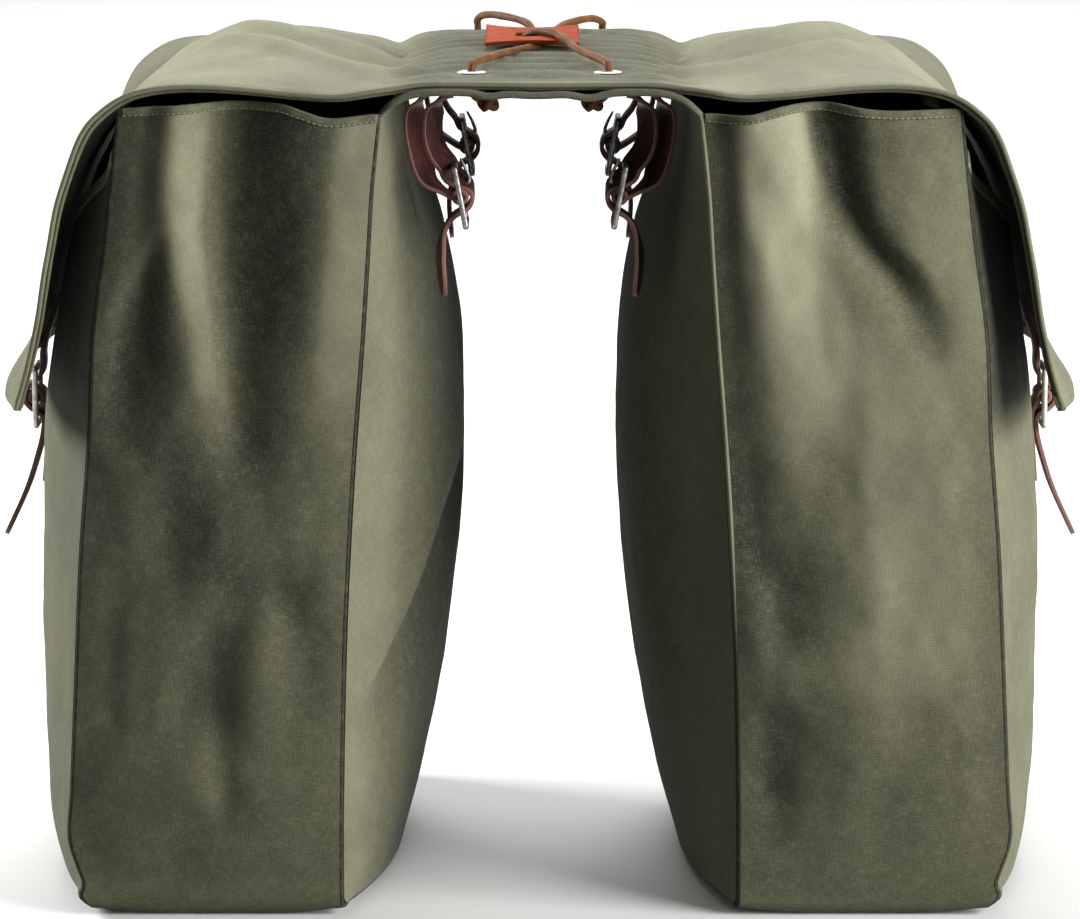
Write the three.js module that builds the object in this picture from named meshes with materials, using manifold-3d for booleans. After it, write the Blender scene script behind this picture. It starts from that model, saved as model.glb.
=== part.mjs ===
// A double bicycle pannier: two stuffed canvas bags hang from a bridge that lies on a rear rack.
// One lid covers both bags and the bridge.
// Millimetres. +Z is up, +X is across the bicycle, +Y is along it.
// The origin is on the floor between the bags.
import * as THREE from "three";
import { mergeVertices } from "three/addons/utils/BufferGeometryUtils.js";
import Module from "manifold-3d";

const wasm = await Module();
wasm.setup();

// Driving dimensions
const bagLength = 320; // along Y, between the seams at the two ends of a bag
const gussetTop = 408.6; // height of the top hem of a bag's end
const canvas = 2; // thickness of the bag cloth
const lidCloth = 2.2; // thickness of the lid
const pipingRadius = 2;
const gap = 0.3; // clearance between neighbouring pieces
const lidOverhang = 6; // how far the lid reaches past the end seams
const floorCorner = 8; // bend radius where a bag's end turns under to its floor
const floorSeamLift = 6; // height of the seams at the floor
const floorFlat = 0.43; // share of a bag's floor that is flat
const endFullness = 7; // how far a bag's end swells out
const endRamp = 60; // height over which that swelling begins above the floor
const hemRise = 3.2; // how far the highest point of the hem stands above gussetTop
const outerTop = 391; // height of the outer panel's hem at the end seams
const outerSag = 46; // how much lower that hem hangs at mid length
const eyeletAcross = 34;
const eyeletAlong = 125;
const laceRadius = 1.75;
const strapWidth = 20;
const strapThickness = 2.4;
const rackStrapAlong = 118; // distance of the rack straps from mid length

const halfLength = bagLength / 2;
const halfLid = halfLength + lidOverhang;
const seamInset = pipingRadius + gap;

// The saddle from mid bridge to the floor: its line at the end seams, and its line at mid length.
const saddleRows = [
  { endX: 0, endZ: 417.2, midX: 0, midZ: 417.2 },
  { endX: 28, endZ: 417.2, midX: 28, midZ: 417.2 },
  { endX: 54, endZ: 417.2, midX: 54, midZ: 417.2 },
  { endX: 66, endZ: 415.2, midX: 62, midZ: 415.4 },
  { endX: 74, endZ: 410.8, midX: 67.5, midZ: 411.4 },
  { endX: 78.6, endZ: 405, midX: 70.5, midZ: 405 },
  { endX: 80, endZ: 396, midX: 70.5, midZ: 396 },
  { endX: 81.5, endZ: 383, midX: 67.5, midZ: 383 },
  { endX: 83.4, endZ: 363, midX: 62, midZ: 363 },
  { endX: 85.2, endZ: 335, midX: 51.5, midZ: 335 },
  { endX: 88, endZ: 295, midX: 43.7, midZ: 295 },
  { endX: 92, endZ: 245, midX: 40.7, midZ: 245 },
  { endX: 95, endZ: 200, midX: 41.3, midZ: 200 },
  { endX: 97.6, endZ: 149, midX: 45.5, midZ: 149 },
  { endX: 99.2, endZ: 94, midX: 53.5, midZ: 94 },
  { endX: 100, endZ: 46, midX: 63.5, midZ: 46 },
  { endX: 100, endZ: floorSeamLift, midX: 74, midZ: floorSeamLift },
];

// The outer panel by height, measured from the middle of the bicycle:
// its end seams, and its line at mid length.
const outerRows = [
  { z: 0, end: 222.5, mid: 250 },
  { z: 12, end: 227, mid: 253.5 },
  { z: 26, end: 233, mid: 256 },
  { z: 42, end: 237, mid: 257.5 },
  { z: 67, end: 235.3, mid: 259 },
  { z: 124, end: 232.3, mid: 261.3 },
  { z: 185, end: 229, mid: 261.6 },
  { z: 245, end: 224, mid: 258.5 },
  { z: 295, end: 221.3, mid: 252 },
  { z: 345, end: 214.4, mid: 241 },
  { z: 391, end: 209.2, mid: 227 },
  { z: 415, end: 206.5, mid: 215 },
];

// The lid from mid bridge to the hem of a flap: its line along the end edges, and its line at mid length.
const lidRows = [
  { endX: 0, endZ: 420.2, midX: 0, midZ: 424.8 },
  { endX: 28, endZ: 420.4, midX: 28, midZ: 424.8 },
  { endX: 48, endZ: 420.6, midX: 48, midZ: 423.8 },
  { endX: 60, endZ: 420.4, midX: 60, midZ: 421.2 },
  { endX: 72, endZ: 419.4, midX: 73, midZ: 420 },
  { endX: 84, endZ: 417.4, midX: 88, midZ: 423.6 },
  { endX: 100, endZ: 415.2, midX: 104, midZ: 428.6 },
  { endX: 120, endZ: 416.2, midX: 121, midZ: 432.4 },
  { endX: 140, endZ: 418.2, midX: 138, midZ: 433.6 },
  { endX: 160, endZ: 419.8, midX: 154, midZ: 432 },
  { endX: 178, endZ: 420, midX: 168, midZ: 428.4 },
  { endX: 193, endZ: 418.4, midX: 181, midZ: 422.4 },
  { endX: 205, endZ: 414.8, midX: 193, midZ: 413.8 },
  { endX: 215, endZ: 408.4, midX: 206, midZ: 404.8 },
  { endX: 223.5, endZ: 399.6, midX: 218, midZ: 394.5 },
  { endX: 230.5, endZ: 385.6, midX: 229.5, midZ: 379.5 },
  { endX: 236, endZ: 368.6, midX: 239.5, midZ: 361 },
  { endX: 240.5, endZ: 346.6, midX: 247.2, midZ: 338 },
  { endX: 245, endZ: 318.6, midX: 253.4, midZ: 312 },
  { endX: 249.7, endZ: 292.6, midX: 258.6, midZ: 288 },
  { endX: 254.5, endZ: 272.6, midX: 264.2, midZ: 273 },
  { endX: 258, endZ: 260.6, midX: 269, midZ: 263 },
];

// Hems of the bag ends: the drop below the highest point.
// share is the part of the way from the inner seam to the outer seam.
const hemRows = {
  left: [
    { share: 0, drop: 5.5 },
    { share: 0.18, drop: 7.5 },
    { share: 0.3, drop: 4 },
    { share: 0.42, drop: 0.5 },
    { share: 0.7, drop: 0.5 },
    { share: 1, drop: 3 },
  ],
  right: [
    { share: 0, drop: 5.5 },
    { share: 0.18, drop: 5.5 },
    { share: 0.35, drop: 1 },
    { share: 0.5, drop: 0.2 },
    { share: 0.7, drop: 3.5 },
    { share: 1, drop: 3 },
  ],
};

// Dents and ridges of the bag ends. across is measured from the middle of the end.
// A ridge has a negative depth.
const endDents = {
  left: [
    { across: 4, z: 365, wide: 17, tall: 62, lean: 0.05, depth: 15 },
    { across: 42, z: 375, wide: 12, tall: 60, lean: -0.05, depth: -5 },
    { across: -40, z: 303, wide: 20, tall: 34, lean: 0.3, depth: 11 },
    { across: 30, z: 150, wide: 22, tall: 30, lean: 0.5, depth: 9 },
    { across: -18, z: 152, wide: 16, tall: 44, lean: -0.3, depth: 8 },
    { across: -34, z: 34, wide: 22, tall: 22, lean: 0, depth: 7 },
  ],
  right: [
    { across: -2, z: 383, wide: 15, tall: 42, lean: 0.1, depth: 14 },
    { across: 22, z: 325, wide: 15, tall: 46, lean: 0.75, depth: 13 },
    { across: -44, z: 253, wide: 18, tall: 90, lean: 0, depth: 7 },
    { across: 22, z: 193, wide: 12, tall: 50, lean: 0, depth: -5 },
    { across: -26, z: 152, wide: 18, tall: 26, lean: 0.2, depth: 7 },
    { across: -24, z: 78, wide: 18, tall: 26, lean: -0.2, depth: 6 },
  ],
};

// The lid's flaps swell out on each side of the middle strap.
const flapLobe = { along: 104, wide: 44, reach: 7.5, firstRow: 18.3 };

// The middle strap presses into the bag's outer panel.
const strapDent = { z: 231, wide: 40, tall: 60, depth: 4 };

// Buckles: across and z place the middle bar, lean tips the top outwards, facing is -1 towards the middle.
const buckle = { long: 33, wide: 30, wire: 3, chamfer: 0.9, corner: 1.4 };
const rackSeat = { across: 39.9, z: 361.7, lean: 0.192, facing: -1 };
const flapSeat = { across: 265.4, z: 242, lean: 0, facing: 1 };
const barHole = 2.3;
const chapeRing = 4.3;
const chapeThickness = 2.2;
const prongThickness = 1.8;
const prongWidth = 2.4;
const prongSlot = 3.2;

// How every strap goes through its buckle, from behind the top of the frame to behind its foot.
const threadRows = [
  { forward: -3.5, up: 16 },
  { forward: -2.2, up: 11 },
  { forward: 2, up: 7 },
  { forward: 5.2, up: 3.8 },
  { forward: 6, up: 0 },
  { forward: 5.2, up: -3.8 },
  { forward: 2, up: -7 },
];
const prongRows = [
  { forward: 1.5, up: 3 },
  { forward: 6, up: 6 },
  { forward: 5.2, up: 11 },
  { forward: 3.2, up: 18 },
];

// Leather lines in the plane across the bicycle, as far as the buckle and on from it.
const rackStrapHead = [
  { across: 43.2, z: 412.3 },
  { across: 47.2, z: 411.4 },
  { across: 51, z: 408 },
  { across: 53.5, z: 400.9 },
  { across: 53.6, z: 390.9 },
  { across: 51, z: 382.9 },
];
const rackStrapTail = [
  { across: 43.5, z: 350.9 },
  { across: 47.6, z: 343.9 },
  { across: 49.8, z: 330.9 },
  { across: 48.3, z: 310.4 },
];
const rackChapeLine = [
  { across: 44, z: 414.7 },
  { across: 51, z: 414.5 },
  { across: 57.5, z: 411.9 },
  { across: 62, z: 404.9 },
  { across: 63.2, z: 395.9 },
  { across: 60.5, z: 380.9 },
  { across: 56, z: 369.9 },
  { across: 49, z: 363.4 },
  { across: 41.5, z: 361.6 },
];
const flapStrapHead = [
  { across: 253.4, z: 296 },
  { across: 255.9, z: 286 },
  { across: 259.6, z: 275 },
  { across: 261.8, z: 266 },
];
const flapStrapTail = [
  { across: 262, z: 231 },
  { across: 262.2, z: 223 },
  { across: 265.2, z: 211 },
  { across: 271.5, z: 192 },
  { across: 283, z: 167 },
];
const flapChapeLine = [
  { across: 261.6, z: 197 },
  { across: 260.4, z: 213 },
  { across: 259.2, z: 227 },
  { across: 260, z: 235 },
  { across: 264, z: 241.6 },
];

// The lace that ends in the right eyelet at the rear, and the one that crosses under it and the patch.
const laceOverRows = [
  { x: 34, y: -125, z: 407.6 },
  { x: 34, y: -125, z: 426.2 },
  { x: 31.2, y: -117, z: 429 },
  { x: 20, y: -76, z: 430.4 },
  { x: 12.6, y: -38, z: 432.6 },
  { x: 8.4, y: -22, z: 433.9 },
  { x: 2.4, y: -9, z: 434.2 },
  { x: -3.6, y: -3.5, z: 433.2 },
  { x: -7.8, y: 0.4, z: 430.6 },
  { x: -8.2, y: 8, z: 428 },
  { x: -6.6, y: 20, z: 428 },
  { x: -4.6, y: 30, z: 428.6 },
  { x: -4.2, y: 37, z: 431.4 },
  { x: -6.6, y: 44, z: 434 },
  { x: -12, y: 56, z: 435.3 },
  { x: -19.5, y: 73, z: 435.6 },
  { x: -26.3, y: 91, z: 435 },
  { x: -31.6, y: 108, z: 433 },
  { x: -34.2, y: 121, z: 429.4 },
  { x: -34, y: 125, z: 425.8 },
  { x: -34, y: 125, z: 407.6 },
];
const laceUnderRows = [
  { x: -34, y: -125, z: 407.6 },
  { x: -34, y: -125, z: 426 },
  { x: -31.3, y: -117, z: 428.6 },
  { x: -25.5, y: -98, z: 428.8 },
  { x: -18.8, y: -70, z: 428.4 },
  { x: -11.6, y: -46, z: 427.8 },
  { x: -5, y: -29, z: 427.7 },
  { x: 0, y: -15, z: 427.8 },
  { x: 3.5, y: -4, z: 428 },
  { x: 5, y: 8, z: 428 },
  { x: 5.8, y: 20, z: 428.1 },
  { x: 6.6, y: 30, z: 428.6 },
  { x: 8.6, y: 38, z: 431 },
  { x: 14, y: 54, z: 433 },
  { x: 22.5, y: 84, z: 432.8 },
  { x: 29, y: 106, z: 431.6 },
  { x: 33.8, y: 120, z: 428.6 },
  { x: 34, y: 125, z: 425.4 },
  { x: 34, y: 125, z: 407.6 },
];
const knot = { radius: 6, z: 408.8 };

// The leather patch that the lace goes through, from rear edge to front edge: half its width, and its height.
// arch is how much higher its middle is than its sides.
const patchRows = [
  { y: -28.5, half: 24.4, z: 428.4, arch: 2.2 },
  { y: -22, half: 24.4, z: 429.9, arch: 1.2 },
  { y: 0, half: 24.4, z: 431.4, arch: 0.2 },
  { y: 15, half: 24.4, z: 432.4, arch: -0.5 },
  { y: 30, half: 24.4, z: 433.4, arch: -1.2 },
];
const patchShift = -4; // off the middle of the bridge
const patchLeather = 2;
const patchSlot = { x: 9, rear: -17, front: 5 };

// Numbers of facets
const lidSteps = 10;
const saddleSteps = 8;
const gussetSteps = { across: 6, end: 10, corner: 2, floor: 4 };
const cordSides = 5;
const laceSamples = 44;
const ringSides = 6;
const outerSteps = { along: 10, up: 8 };

const material = {
  canvas: new THREE.MeshStandardMaterial({ color: 0x7d7c5f, roughness: 0.9 }),
  piping: new THREE.MeshStandardMaterial({ color: 0x6a6a50, roughness: 0.85 }),
  strap: new THREE.MeshStandardMaterial({ color: 0x4d2620, roughness: 0.6 }),
  lace: new THREE.MeshStandardMaterial({ color: 0x6e4b2d, roughness: 0.6 }),
  patch: new THREE.MeshStandardMaterial({ color: 0xcd4b23, roughness: 0.6 }),
  metal: new THREE.MeshStandardMaterial({ color: 0x8c8c88, roughness: 0.35, metalness: 1 }),
};

const pannier = new THREE.Group();

function addPiece(name, geometry, finish) {
  const mesh = new THREE.Mesh(geometry, finish);
  mesh.name = name;
  pannier.add(mesh);
}

// A smooth curve through one column of a table, read at a place between its rows.
function alongRows(rows, column, place) {
  const last = rows.length - 1;
  const before = Math.min(Math.floor(place), last - 1);
  const share = place - before;
  const from = rows[before][column];
  const to = rows[before + 1][column];
  const leave = before > 0 ? (to - rows[before - 1][column]) / 2 : to - from;
  const arrive = before + 2 <= last ? (rows[before + 2][column] - from) / 2 : to - from;
  const square = share * share;
  const cube = square * share;
  return (
    (2 * cube - 3 * square + 1) * from +
    (cube - 2 * square + share) * leave +
    (3 * square - 2 * cube) * to +
    (cube - square) * arrive
  );
}

// The place in a table, counted in rows, where a column that only rises or only falls has the given value.
function placeOf(rows, column, value) {
  const last = rows.length - 1;
  const rises = rows[last][column] > rows[0][column];
  let low = 0;
  let high = last;
  for (let pass = 0; pass < 40; pass += 1) {
    const middle = (low + high) / 2;
    const below = alongRows(rows, column, middle) < value;
    if (below === rises) {
      low = middle;
    } else {
      high = middle;
    }
  }
  return (low + high) / 2;
}

function mix(from, to, share) {
  return from + (to - from) * share;
}

// 1 at mid length and 0 at the end seams.
function fullness(y, half) {
  return 1 - Math.abs(y / half) ** 2.2;
}

function dentDepth(dents, across, z) {
  let depth = 0;
  for (const dent of dents) {
    const side = across - dent.across + dent.lean * (z - dent.z);
    const up = z - dent.z;
    depth += dent.depth * Math.exp(-((side / dent.wide) ** 2) - (up / dent.tall) ** 2);
  }
  return depth;
}

function toSolid(geometry) {
  const bare = new THREE.BufferGeometry();
  bare.setAttribute("position", geometry.getAttribute("position"));
  bare.setIndex(geometry.index);
  const merged = mergeVertices(bare, 1e-4);
  const mesh = new wasm.Mesh({
    numProp: 3,
    vertProperties: new Float32Array(merged.attributes.position.array),
    triVerts: new Uint32Array(merged.index.array),
  });
  return new wasm.Manifold(mesh);
}

function toGeometry(solid) {
  const mesh = solid.getMesh();
  const geometry = new THREE.BufferGeometry();
  geometry.setAttribute("position", new THREE.BufferAttribute(new Float32Array(mesh.vertProperties), 3));
  geometry.setIndex(new THREE.BufferAttribute(new Uint32Array(mesh.triVerts), 1));
  geometry.computeVertexNormals();
  return geometry;
}

// A closed wall of one thickness about a surface, which is given as a point for each pair of grid steps.
function wallAbout(surface, stepsU, stepsV, thickness) {
  const reach = 0.02;
  const positions = [];
  const faces = [];
  const rowLength = stepsV + 1;
  const layer = (stepsU + 1) * rowLength;
  for (const side of [1, -1]) {
    for (let u = 0; u <= stepsU; u += 1) {
      for (let v = 0; v <= stepsV; v += 1) {
        const ahead = surface(Math.min(u + reach, stepsU), v);
        const behind = surface(Math.max(u - reach, 0), v);
        const right = surface(u, Math.min(v + reach, stepsV));
        const left = surface(u, Math.max(v - reach, 0));
        const normal = ahead.sub(behind).cross(right.sub(left)).normalize();
        const point = surface(u, v).addScaledVector(normal, (side * thickness) / 2);
        positions.push(point.x, point.y, point.z);
      }
    }
  }
  const at = (u, v, back) => u * rowLength + v + (back ? layer : 0);
  const quad = (a, b, c, d) => faces.push(a, b, c, a, c, d);
  for (let u = 0; u < stepsU; u += 1) {
    for (let v = 0; v < stepsV; v += 1) {
      quad(at(u, v), at(u + 1, v), at(u + 1, v + 1), at(u, v + 1));
      quad(at(u, v, true), at(u, v + 1, true), at(u + 1, v + 1, true), at(u + 1, v, true));
    }
    quad(at(u + 1, 0), at(u, 0), at(u, 0, true), at(u + 1, 0, true));
    quad(at(u, stepsV), at(u + 1, stepsV), at(u + 1, stepsV, true), at(u, stepsV, true));
  }
  for (let v = 0; v < stepsV; v += 1) {
    quad(at(0, v), at(0, v + 1), at(0, v + 1, true), at(0, v, true));
    quad(at(stepsU, v + 1), at(stepsU, v), at(stepsU, v, true), at(stepsU, v + 1, true));
  }
  const geometry = new THREE.BufferGeometry();
  geometry.setAttribute("position", new THREE.Float32BufferAttribute(positions, 3));
  geometry.setIndex(faces);
  geometry.computeVertexNormals();
  return geometry;
}

// The rows of the saddle that hang below the bridge
const panelRows = saddleRows.slice(3);

// The height of the seams round a bag's floor, which rise with the bend at its ends.
function seamFloor(y) {
  const past = Math.max(0, Math.abs(y) - halfLength + floorCorner);
  const bend = floorCorner - Math.sqrt(Math.max(0, floorCorner ** 2 - past ** 2));
  return canvas / 2 + bend + (floorSeamLift - canvas / 2) * (1 - past / floorCorner);
}

// The lower edge of the panels that are sewn to the floor, kept clear of the piping.
function panelFloor(y) {
  const past = Math.min(0.95, Math.max(0, Math.abs(y) - halfLength + floorCorner) / floorCorner);
  return seamFloor(y) + (seamInset + 0.8 * past) / Math.sqrt(1 - past ** 2);
}

function innerPanelX(y, z) {
  const place = placeOf(panelRows, "endZ", z);
  const end = alongRows(panelRows, "endX", place);
  const mid = alongRows(panelRows, "midX", place);
  return mix(end, mid, fullness(y, halfLength));
}

function outerPanelX(y, z) {
  const place = placeOf(outerRows, "z", z);
  const end = alongRows(outerRows, "end", place);
  const mid = alongRows(outerRows, "mid", place);
  const plain = mix(end, mid, fullness(y, halfLength));
  const press = Math.exp(-((y / strapDent.wide) ** 2) - ((z - strapDent.z) / strapDent.tall) ** 2);
  return plain - strapDent.depth * press;
}

// The saddle, with holes for the eyelets
const saddleHalf = saddleRows.length - 1;

function saddlePoint(place, y) {
  const row = Math.abs(place);
  const side = Math.sign(place);
  const full = fullness(y, halfLength);
  const x = mix(alongRows(saddleRows, "endX", row), alongRows(saddleRows, "midX", row), full);
  const z = mix(alongRows(saddleRows, "endZ", row), alongRows(saddleRows, "midZ", row), full);
  return new THREE.Vector3(side * x, y, z);
}

function saddleSurface(u, v) {
  const y = mix(-halfLength + seamInset, halfLength - seamInset, v / saddleSteps);
  const row = Math.abs(u - saddleHalf);
  const lowestRow = placeOf(panelRows, "endZ", panelFloor(y)) + saddleHalf - panelRows.length + 1;
  const lastStep = Math.max(0, row - saddleHalf + 1);
  const place = row - lastStep * (saddleHalf - lowestRow);
  return saddlePoint(place * Math.sign(u - saddleHalf), y);
}

function withEyeletHoles(geometry, radius) {
  let solid = toSolid(geometry);
  for (const x of [-eyeletAcross, eyeletAcross]) {
    for (const y of [-eyeletAlong, eyeletAlong]) {
      const punch = wasm.Manifold.cylinder(60, radius, radius, 8, true);
      solid = solid.subtract(punch.translate([x, y, gussetTop + 10]));
    }
  }
  return toGeometry(solid);
}

const eyelet = { barrel: 4.5, hole: 3.2, flange: 7.6, foot: 6.8, metal: 0.9 };
const eyeletClearance = eyelet.barrel + gap;
const saddleWall = wallAbout(saddleSurface, 2 * saddleHalf, saddleSteps, canvas);
addPiece("saddle", withEyeletHoles(saddleWall, eyeletClearance), material.canvas);

// The lid, with holes for the eyelets
const lidHalf = lidRows.length - 1;

function lidPoint(place, y) {
  const row = Math.abs(place);
  const side = Math.sign(place);
  const full = fullness(y, halfLid);
  const lobeShare = Math.max(0, row - flapLobe.firstRow) / (lidHalf - flapLobe.firstRow);
  const lobeAlong = (Math.abs(y) - flapLobe.along) / flapLobe.wide;
  const lobe = flapLobe.reach * lobeShare ** 1.5 * Math.exp(-(lobeAlong ** 2));
  const x = mix(alongRows(lidRows, "endX", row), alongRows(lidRows, "midX", row), full) + lobe;
  const z = mix(alongRows(lidRows, "endZ", row), alongRows(lidRows, "midZ", row), full);
  return new THREE.Vector3(side * x, y, z);
}

function lidSurface(u, v) {
  return lidPoint(u - lidHalf, mix(-halfLid, halfLid, v / lidSteps));
}

const lidWall = wallAbout(lidSurface, 2 * lidHalf, lidSteps, lidCloth);
addPiece("lid", withEyeletHoles(lidWall, eyeletClearance), material.canvas);

// The gussets: each runs down the rear end of a bag, along its floor and up the front end
const gussetLength = 2 * (gussetSteps.end + gussetSteps.corner) + gussetSteps.floor;

function gussetLine(station, top) {
  const toMiddle = Math.min(station, gussetLength - station);
  const end = station > gussetLength / 2 ? 1 : -1;
  const bendZ = floorCorner + canvas / 2;
  const bendY = halfLength - floorCorner;
  if (toMiddle <= gussetSteps.end) {
    return { end, y: end * halfLength, z: mix(top, bendZ, toMiddle / gussetSteps.end), upright: 1 };
  }
  if (toMiddle <= gussetSteps.end + gussetSteps.corner) {
    const turn = ((toMiddle - gussetSteps.end) / gussetSteps.corner) * (Math.PI / 2);
    const y = end * (bendY + floorCorner * Math.cos(turn));
    return { end, y, z: bendZ - floorCorner * Math.sin(turn), upright: Math.cos(turn) };
  }
  const floorShare = (toMiddle - gussetSteps.end - gussetSteps.corner) / gussetSteps.floor;
  return { end, y: end * mix(bendY, -bendY, floorShare), z: canvas / 2, upright: 0 };
}

function gussetPoint(side, station, share, inset) {
  const hems = side > 0 ? hemRows.right : hemRows.left;
  const hemPlace = placeOf(hems, "share", share);
  const line = gussetLine(station, gussetTop + hemRise - alongRows(hems, "drop", hemPlace));
  const rim = Math.max(0, (Math.abs(2 * share - 1) - floorFlat) / (1 - floorFlat)) ** 2;
  const z = line.z + (floorSeamLift - canvas / 2) * rim * (1 - line.upright);
  const inner = innerPanelX(line.y, Math.min(z, gussetTop)) + inset;
  const outer = outerPanelX(line.y, z) - inset;
  const dents = side * line.end < 0 ? endDents.right : endDents.left;
  const across = (share - 0.5) * (outer - inner) * -line.end * side;
  const swell = 4 * share * (1 - share);
  const ramp = Math.min(1, Math.max(0, (z - floorCorner) / endRamp));
  const out = (endFullness * swell - dentDepth(dents, across, z) * Math.min(1, 3 * swell)) * ramp;
  return new THREE.Vector3(side * mix(inner, outer, share), line.y + line.end * out, z);
}

function gussetSurface(side) {
  return (u, v) => gussetPoint(side, u, v / gussetSteps.across, seamInset);
}

// The outer panels
function outerPanelSurface(side) {
  return (u, v) => {
    const y = mix(-halfLength + seamInset, halfLength - seamInset, u / outerSteps.along);
    const top = outerTop - outerSag * fullness(y, halfLength);
    const z = mix(panelFloor(y), top, v / outerSteps.up);
    return new THREE.Vector3(side * outerPanelX(y, z), y, z);
  };
}

// Cords
function polygon(radius, sides) {
  const corners = [];
  for (let corner = 0; corner < sides; corner += 1) {
    const angle = (corner / sides) * 2 * Math.PI;
    corners.push(new THREE.Vector2(radius * Math.cos(angle), radius * Math.sin(angle)));
  }
  return new THREE.Shape(corners);
}

function cord(points, radius, sides, steps) {
  const path = new THREE.CatmullRomCurve3(points, false, "centripetal");
  return new THREE.ExtrudeGeometry(polygon(radius, sides), { steps, extrudePath: path, curveSegments: 1 });
}

// A cord with a ring of corners at each point, so that it bends where the cloth beside it bends.
function seamCord(points, closed) {
  const positions = [];
  const faces = [];
  const count = points.length;
  const askew = new THREE.Vector3(0.48, 0.6, 0.64);
  points.forEach((point, index) => {
    const next = closed ? points[(index + 1) % count] : points[Math.min(index + 1, count - 1)];
    const last = closed ? points[(index + count - 1) % count] : points[Math.max(index - 1, 0)];
    const tangent = next.clone().sub(last).normalize();
    const across = askew.clone().cross(tangent).normalize();
    const outward = tangent.clone().cross(across);
    for (let corner = 0; corner < cordSides; corner += 1) {
      const angle = (corner / cordSides) * 2 * Math.PI;
      const spot = point.clone().addScaledVector(across, pipingRadius * Math.cos(angle));
      spot.addScaledVector(outward, pipingRadius * Math.sin(angle));
      positions.push(spot.x, spot.y, spot.z);
    }
  });
  for (let index = 0; index < (closed ? count : count - 1); index += 1) {
    const ring = index * cordSides;
    const nextRing = ((index + 1) % count) * cordSides;
    for (let corner = 0; corner < cordSides; corner += 1) {
      const after = (corner + 1) % cordSides;
      faces.push(ring + corner, ring + after, nextRing + after);
      faces.push(ring + corner, nextRing + after, nextRing + corner);
    }
  }
  if (!closed) {
    const end = (count - 1) * cordSides;
    for (let corner = 1; corner < cordSides - 1; corner += 1) {
      faces.push(0, corner + 1, corner);
      faces.push(end, end + corner, end + corner + 1);
    }
  }
  const geometry = new THREE.BufferGeometry();
  geometry.setAttribute("position", new THREE.Float32BufferAttribute(positions, 3));
  geometry.setIndex(faces);
  geometry.computeVertexNormals();
  return geometry;
}

function gussetEdge(side, share) {
  const points = [];
  for (let station = 0; station <= gussetLength; station += 1) {
    points.push(gussetPoint(side, station, share, 0));
  }
  return points;
}

// Up one bag's inner seam, across the bridge and down the other, at each end of the bags.
function saddleEdgePoints() {
  const rightSeam = gussetEdge(1, 0);
  const leftSeam = gussetEdge(-1, 0).reverse();
  const bridge = [];
  for (let place = -4; place <= 4; place += 1) {
    bridge.push(saddlePoint(place, -halfLength));
  }
  const backBridge = bridge.map((point) => new THREE.Vector3(-point.x, -point.y, point.z));
  return [...bridge, ...rightSeam, ...backBridge, ...leftSeam];
}

addPiece("saddle_piping", seamCord(saddleEdgePoints(), true), material.piping);

// Leather bands lie in the plane across the bicycle and have their width along it
function bandGeometry(side, line, samples, thickness, width, along) {
  const curve = new THREE.SplineCurve(line);
  const upper = [];
  const lower = [];
  for (let sample = 0; sample <= samples; sample += 1) {
    const point = curve.getPointAt(sample / samples);
    const tangent = curve.getTangentAt(sample / samples);
    const offset = new THREE.Vector2(-tangent.y, tangent.x).multiplyScalar(thickness / 2);
    upper.push(point.clone().add(offset));
    lower.push(point.clone().sub(offset));
  }
  const outline = upper.concat(lower.reverse());
  return plateGeometry(side, outline, width, along);
}

function plateGeometry(side, outline, width, along) {
  const turned = outline.map((point) => new THREE.Vector2(side * point.x, point.y));
  const geometry = new THREE.ExtrudeGeometry(new THREE.Shape(turned), { depth: width, bevelEnabled: false });
  geometry.rotateX(Math.PI / 2);
  geometry.translate(0, along + width / 2, 0);
  return geometry;
}

function seatPoint(seat, forward, up) {
  const front = new THREE.Vector2(Math.cos(seat.lean), -Math.sin(seat.lean));
  front.multiplyScalar(seat.facing * forward);
  const upward = new THREE.Vector2(Math.sin(seat.lean), Math.cos(seat.lean));
  upward.multiplyScalar(up);
  return new THREE.Vector2(seat.across, seat.z).add(front).add(upward);
}

function linePoints(rows) {
  return rows.map((row) => new THREE.Vector2(row.across, row.z));
}

function ringOutline(seat, radius, sides) {
  const points = [];
  for (let corner = 0; corner < sides; corner += 1) {
    const angle = ((corner + 0.5) / sides) * 2 * Math.PI;
    points.push(seatPoint(seat, radius * Math.cos(angle), radius * Math.sin(angle)));
  }
  return points;
}

// A box round a spot of the buckle, as wide as the prong's slot
function slotBox(side, seat, along, forward, up, reach) {
  const spot = seatPoint(seat, forward, up);
  const box = wasm.Manifold.cube([reach, prongSlot, reach], true);
  return box.translate([side * spot.x, along, spot.y]);
}

// A band that ends in a ring round the middle bar of a buckle
function ringedBand(side, seat, line, samples, thickness, width, along, ringRadius) {
  const band = toSolid(bandGeometry(side, line, samples, thickness, width, along));
  const ring = toSolid(plateGeometry(side, ringOutline(seat, ringRadius, ringSides), width, along));
  const bore = toSolid(plateGeometry(side, ringOutline(seat, barHole, ringSides), 2 * width, along));
  return band.add(ring).subtract(bore);
}

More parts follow.
